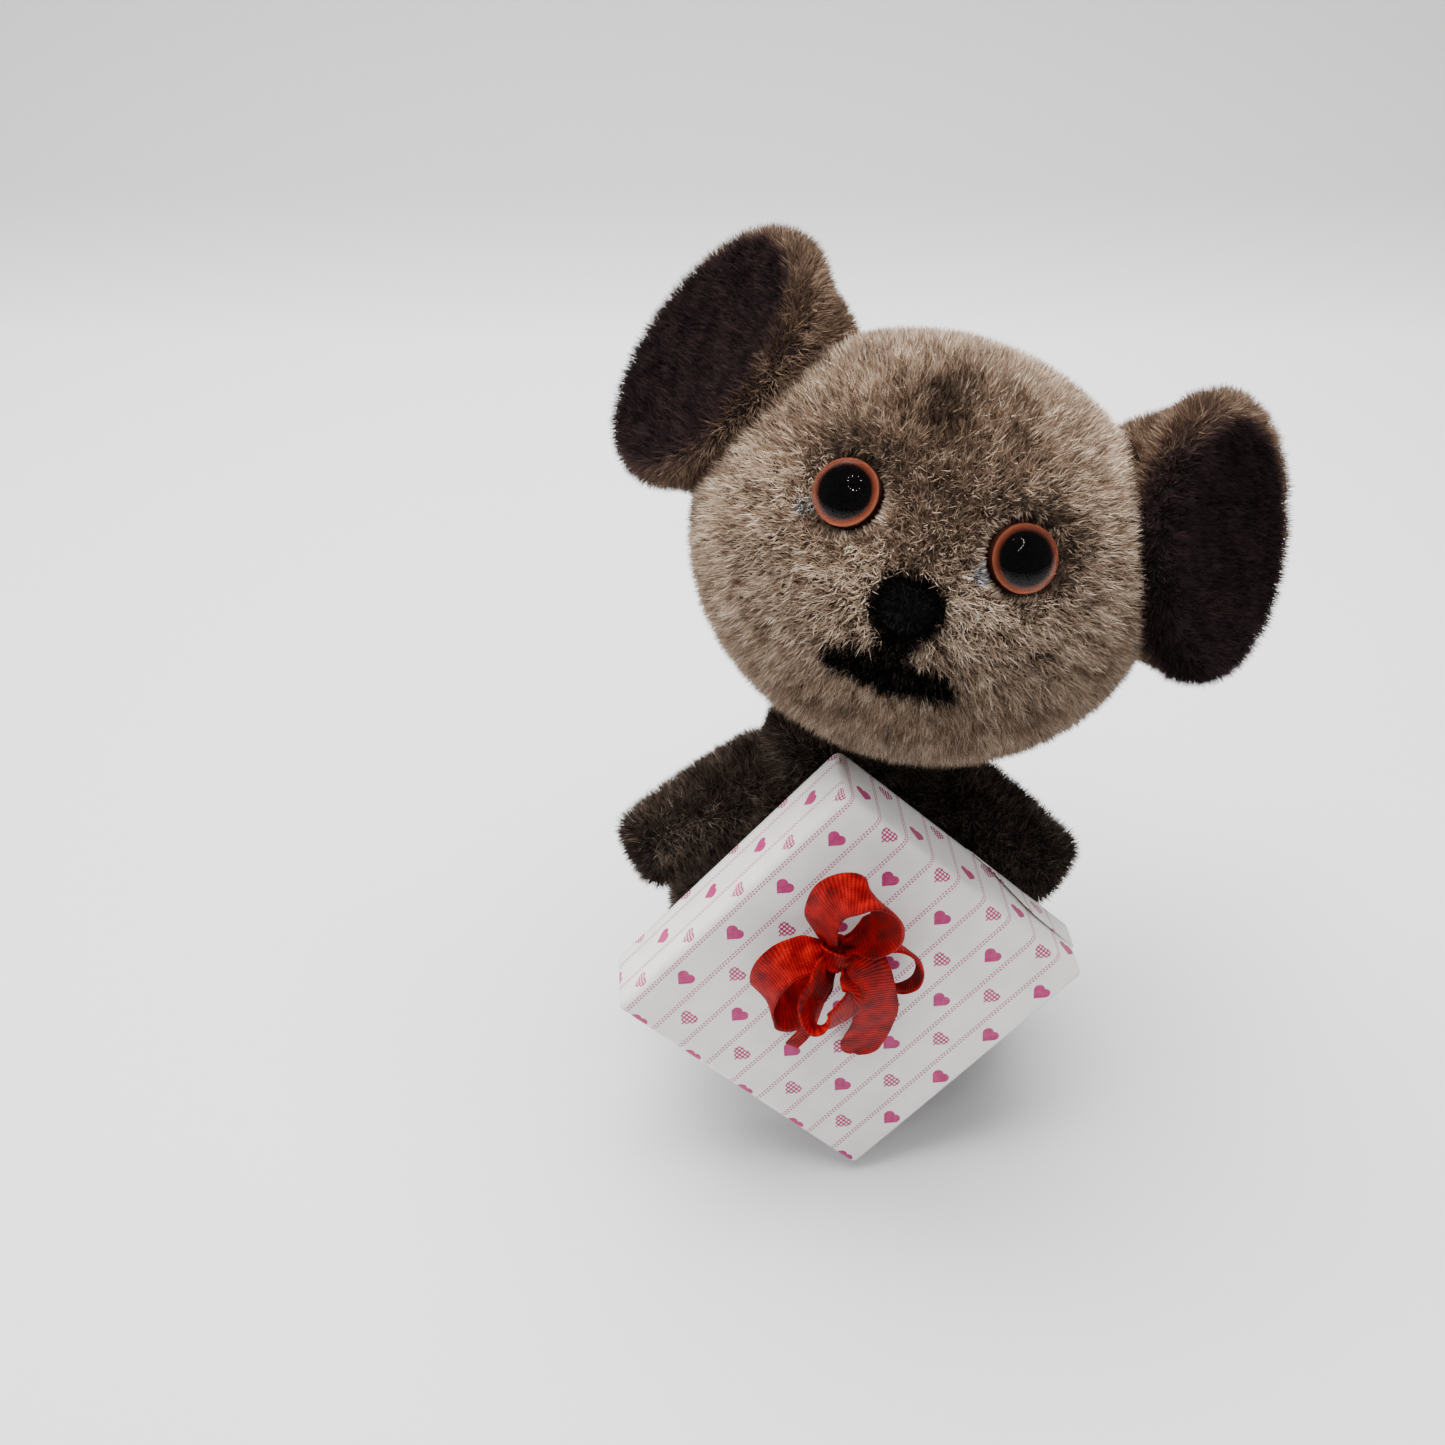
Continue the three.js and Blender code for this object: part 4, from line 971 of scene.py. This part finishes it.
# The knot's place in the gift's frame, and each run of ribbon from it: width, the direction across, path.
KNOT = np.array([-1.9, -3.2, 8.2])
RUNS = {
    "bow_top_loop": (4.8, (0.62, -0.72, -0.32), [
        (-0.4, 0.1, 0.4), (-1.0, -0.2, 1.9), (-1.6, -0.6, 4.2), (-0.8, -1.4, 7.4), (1.1, -2.0, 8.9),
        (3.5, -2.4, 8.8), (5.3, -2.2, 6.7), (5.4, -1.6, 4.0), (4.0, -0.8, 2.3), (1.2, 0, 0.9)]),
    "bow_left_loop": (4.4, (0.45, -0.6, -0.65), [
        (-0.4, 0.1, 0.4), (-3.4, -1.0, 0.6), (-5.7, -1.6, 0.2), (-7.4, -1.6, -1.7), (-8.0, -1.0, -4.4),
        (-6.9, -0.4, -6.9), (-5.0, -0.2, -7.4), (-3.3, -0.2, -5.3), (-0.7, 0, -0.8)]),
    "bow_right_loop": (2.4, (0.2, -0.95, 0.2), [
        (0.6, 0.2, 0.1), (5.3, 0, 0.3), (7.6, 0, -0.4), (9.2, 0, -2.6), (8.7, 0.2, -5.1), (6.8, 0.4, -6.1),
        (4.9, 0.4, -4.9), (0.8, 0.2, -0.7)]),
    "bow_front_loop": (4.8, (0.5, 0.62, -0.6), [
        (-0.2, -0.3, 0.2), (-0.7, -0.8, -0.6), (-2.3, -3.2, -1.9), (-3.5, -4.6, -3.0), (-2.9, -5.2, -5.2),
        (-1.5, -5.0, -5.7), (0.4, -4.2, -4.8), (1.7, -2.8, -3.9), (1.1, -1.0, -2.1), (0.2, -0.3, -0.2)]),
    "bow_wide_tail": (4.8, (0.95, -0.05, 0.2), [
        (0.6, 0, 0.3), (2.0, -0.5, 0.1), (3.3, -1.6, -1.5), (3.9, -1.8, -4.5), (4.2, -1.0, -7.7),
        (3.4, 0.8, -12.1), (2.0, 2.2, -16.2)]),
    "bow_thin_tail": (1.6, (0.8, 0, -0.6), [
        (-0.4, 0.2, -0.6), (-2.2, 1.0, -7.7), (-3.3, 1.6, -11.6), (-5.0, 2.2, -14.4)]),
}


def curve_through(points, per_span):
    """A smooth (Catmull-Rom) curve through the points, with the ends carried straight on."""
    p = np.asarray(points, float)
    p = np.vstack([2 * p[0] - p[1], p, 2 * p[-1] - p[-2]])
    out = []
    for i in range(1, len(p) - 2):
        for t in np.linspace(0, 1, per_span, endpoint=False):
            a, b, c, d = p[i - 1:i + 3]
            square, cube = 2 * a - 5 * b + 4 * c - d, 3 * b - a - 3 * c + d
            out.append(0.5 * (2 * b + (c - a) * t + square * t ** 2 + cube * t ** 3))
    out.append(p[-2])
    return np.array(out)


def ribbon_piece(name, width, across, points, seed):
    """One run of ribbon: gathered at the knot, and curled a little across its width."""
    rng = np.random.default_rng(seed)
    path = curve_through(points, 12)
    tangent = np.gradient(path, axis=0)
    tangent /= np.linalg.norm(tangent, axis=1)[:, None]
    side = np.asarray(across, float) / np.linalg.norm(across)
    w = side - tangent * (tangent @ side)[:, None]
    w /= np.linalg.norm(w, axis=1)[:, None]
    n = np.cross(tangent, w)
    s = np.concatenate([[0], np.cumsum(np.linalg.norm(np.diff(path, axis=0), axis=1))])
    far = np.minimum(s, s[-1] - s) if "loop" in name else s
    spread = 0.42 + 0.58 * smooth_step(far / 3.2)
    columns = 15
    pts, uv_of = [], []
    phase = rng.uniform(0, 6)
    for i in range(len(path)):
        gather = 1 - smooth_step(far[i] / 4.0)
        tail_round = 1.0
        if name == "bow_wide_tail":
            tail_round = math.sqrt(max(1 - max((s[i] - s[-1] + 2.4) / 2.45, 0) ** 2, 0.02))
        for j in range(columns):
            t = 2 * j / (columns - 1) - 1
            curl = 0.22 * (t * t - 0.33) * (1 - gather)
            ruck = 0.30 * gather * math.sin(3.3 * t * math.pi / 2 + phase)
            ruck += 0.05 * math.sin(1.3 * s[i] + 3 * t + phase)
            sideways = t * width / 2 * spread[i] * tail_round
            pts.append(path[i] + KNOT + w[i] * sideways + n[i] * (curl + ruck))
            uv_of.append((s[i], t * width / 2))
    faces = grid_faces(len(path), columns, closed=False)
    uvs = [uv_of[k] for f in faces for k in f]
    obj = make_object(name, pts, faces, "lid", [ribbon_material], PLACE @ GIFT, uvs=uvs)
    modifier(obj, "SOLIDIFY", thickness=0.24 * MM, offset=0.0)
    return obj


bow = [ribbon_piece(name, *run, seed=70 + i) for i, (name, run) in enumerate(RUNS.items())]
# the wrap that gathers the loops: a short crossed turn of the same ribbon
wrap_path = [(1.5 * math.cos(a), -0.3 + 1.7 * math.sin(a), 0.3 * math.sin(2 * a))
             for a in np.linspace(0, 2 * math.pi, 9)]
bow.append(ribbon_piece("bow_wrap_loop", 2.6, (0.1, 0.0, 1.0), wrap_path, 90))
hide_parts("ribbon_bow")


# ---------------------------------------------------------------- carried-over pieces
steel = metal("train_steel", (0.46, 0.47, 0.49, 1), 0.34)
brass = metal("train_brass", (0.66, 0.45, 0.16, 1), 0.33)
key_brass = metal("key_brass", (0.70, 0.50, 0.20, 1), 0.24, 500)
blued = metal("blued_steel", (0.06, 0.08, 0.14, 1), 0.30)
tin = metal("tin_plate", (0.52, 0.53, 0.54, 1), 0.38, 400)
glue_look, glue_tree, glue_shader = principled("glue_pad_foam", srgb(40, 35, 31), Roughness=0.9)
bump(glue_tree, glue_shader, noise(glue_tree, object_coordinates(glue_tree), 2400, 3), 0.5, 0.0001)
slot_looks = {"steel": steel, "brass": brass, "key_metal": key_brass, "spring_steel": blued, "tin_plate": tin,
              "glue": glue_look}
for sub in frame["record"]["subparts"]:
    obj = NODES[sub["node"]]
    if obj.hide_render:
        continue
    obj.data.materials.clear()
    obj.data.materials.append(slot_looks[sub["material_slot"]])
for name in ("winding_key", "key_hole_collar"):
    modifier(NODES[name], "BEVEL", width=0.18 * MM, segments=2, limit_method="ANGLE",
             angle_limit=math.radians(38))

# ---------------------------------------------------------------- floor, light, camera
floor_look, floor_tree, floor_shader = principled("studio_floor", srgb(228, 229, 230), Roughness=0.6)
floor_at = add(floor_tree, "ShaderNodeSeparateXYZ")
floor_tree.links.new(object_coordinates(floor_tree), floor_at.inputs[0])
# pale on the floor, and painted grey from about where the floor curves up into the wall: painted shade on the
# rising backdrop
floor_and_painted_wall_shade = ramp(floor_tree, floor_at.outputs["Y"], (0.19, srgb(230, 231, 232)), (0.235, srgb(186, 187, 186)))
floor_tree.links.new(floor_and_painted_wall_shade, floor_shader.inputs["Base Color"])
# the sweep: a flat floor that curves up into a wall behind the toy
SWEEP_REACH = 900
CURVE_START, CURVE_RADIUS = 190, 70
SWEEP_COLUMNS = 13
profile = [(-SWEEP_REACH, 0), (-400, 0), (0, 0), (CURVE_START, 0)]
profile += [(CURVE_START + CURVE_RADIUS * math.sin(a), CURVE_RADIUS - CURVE_RADIUS * math.cos(a))
            for a in np.linspace(0.1, math.pi / 2, 14)]
profile += [(262, 500), (264, SWEEP_REACH)]
sweep = [(x, y, zed) for y, zed in profile for x in np.linspace(-SWEEP_REACH, SWEEP_REACH, SWEEP_COLUMNS)]
mesh = bpy.data.meshes.new("studio_sweep")
flat = np.array(sweep) * MM + ORIGIN * np.array([1, 1, 0])
sweep_faces = [f[::-1] for f in grid_faces(len(profile), SWEEP_COLUMNS, closed=False)]
mesh.from_pydata(flat.tolist(), [], sweep_faces)
mesh.shade_smooth()
mesh.materials.append(floor_look)
studio = bpy.data.objects.new("studio_sweep", mesh)
bpy.context.scene.collection.objects.link(studio)

world = bpy.data.worlds.new("studio_air")
bpy.context.scene.world = world
world.use_nodes = True
background = world.node_tree.nodes["Background"]
background.inputs["Color"].default_value = (0.93, 0.96, 1.0, 1)
background.inputs["Strength"].default_value = 0.27


def area(name, at, target, size, power, color=(1, 1, 1)):
    """A rectangular lamp facing a target; it is kept out of reflections, so that the pupils stay dark."""
    light = bpy.data.lights.new(name, "AREA")
    light.shape = "RECTANGLE"
    light.size, light.size_y = size[0] * MM, size[1] * MM
    light.energy = power
    light.color = color
    obj = bpy.data.objects.new(name, light)
    obj.location = Vector(ORIGIN) + Vector(at) * MM
    obj.rotation_euler = (Vector(at) - Vector(target)).to_track_quat("Z", "Y").to_euler()
    obj.visible_glossy = False
    bpy.context.scene.collection.objects.link(obj)


area("overhead", (-40, 60, 410), (0, 0, 30), (410, 370), 6.0, (1.0, 0.99, 0.98))
area("left_fill", (-360, -160, 220), (0, 0, 40), (260, 260), 0.4)
area("right_fill", (340, -120, 200), (0, 0, 40), (220, 240), 0.2)
# a ring of small lamps above the toy; the eyes reflect it only as a faint spot and a few specks
RING_LAMPS = 14
RING_RADIUS = 72
RING_SLOPE = math.radians(72)
RING_AT = Vector((-4, -104, 292))
ring_turn = Vector((0, -math.cos(RING_SLOPE), math.sin(RING_SLOPE))).to_track_quat("Z", "Y")
for k in range(RING_LAMPS):
    lamp = bpy.data.lights.new(f"ring_lamp_{k + 1}", "POINT")
    lamp.energy = 0.055
    lamp.shadow_soft_size = 7 * MM
    obj = bpy.data.objects.new(f"ring_lamp_{k + 1}", lamp)
    a = 2 * math.pi * k / RING_LAMPS
    offset = ring_turn @ Vector((RING_RADIUS * math.cos(a), RING_RADIUS * math.sin(a), 0))
    obj.location = Vector(ORIGIN) + (RING_AT + offset) * MM
    bpy.context.scene.collection.objects.link(obj)

camera = bpy.data.cameras.new("camera")
camera.lens = 46.89
camera.sensor_width = 36
camera.clip_start = 0.005
viewer = bpy.data.objects.new("camera", camera)
viewer.location = Vector(ORIGIN) + Vector((-15, -175.2, 179.7)) * MM
viewer.rotation_euler = Euler((math.radians(52), 0, 0))
bpy.context.scene.collection.objects.link(viewer)
bpy.context.scene.camera = viewer
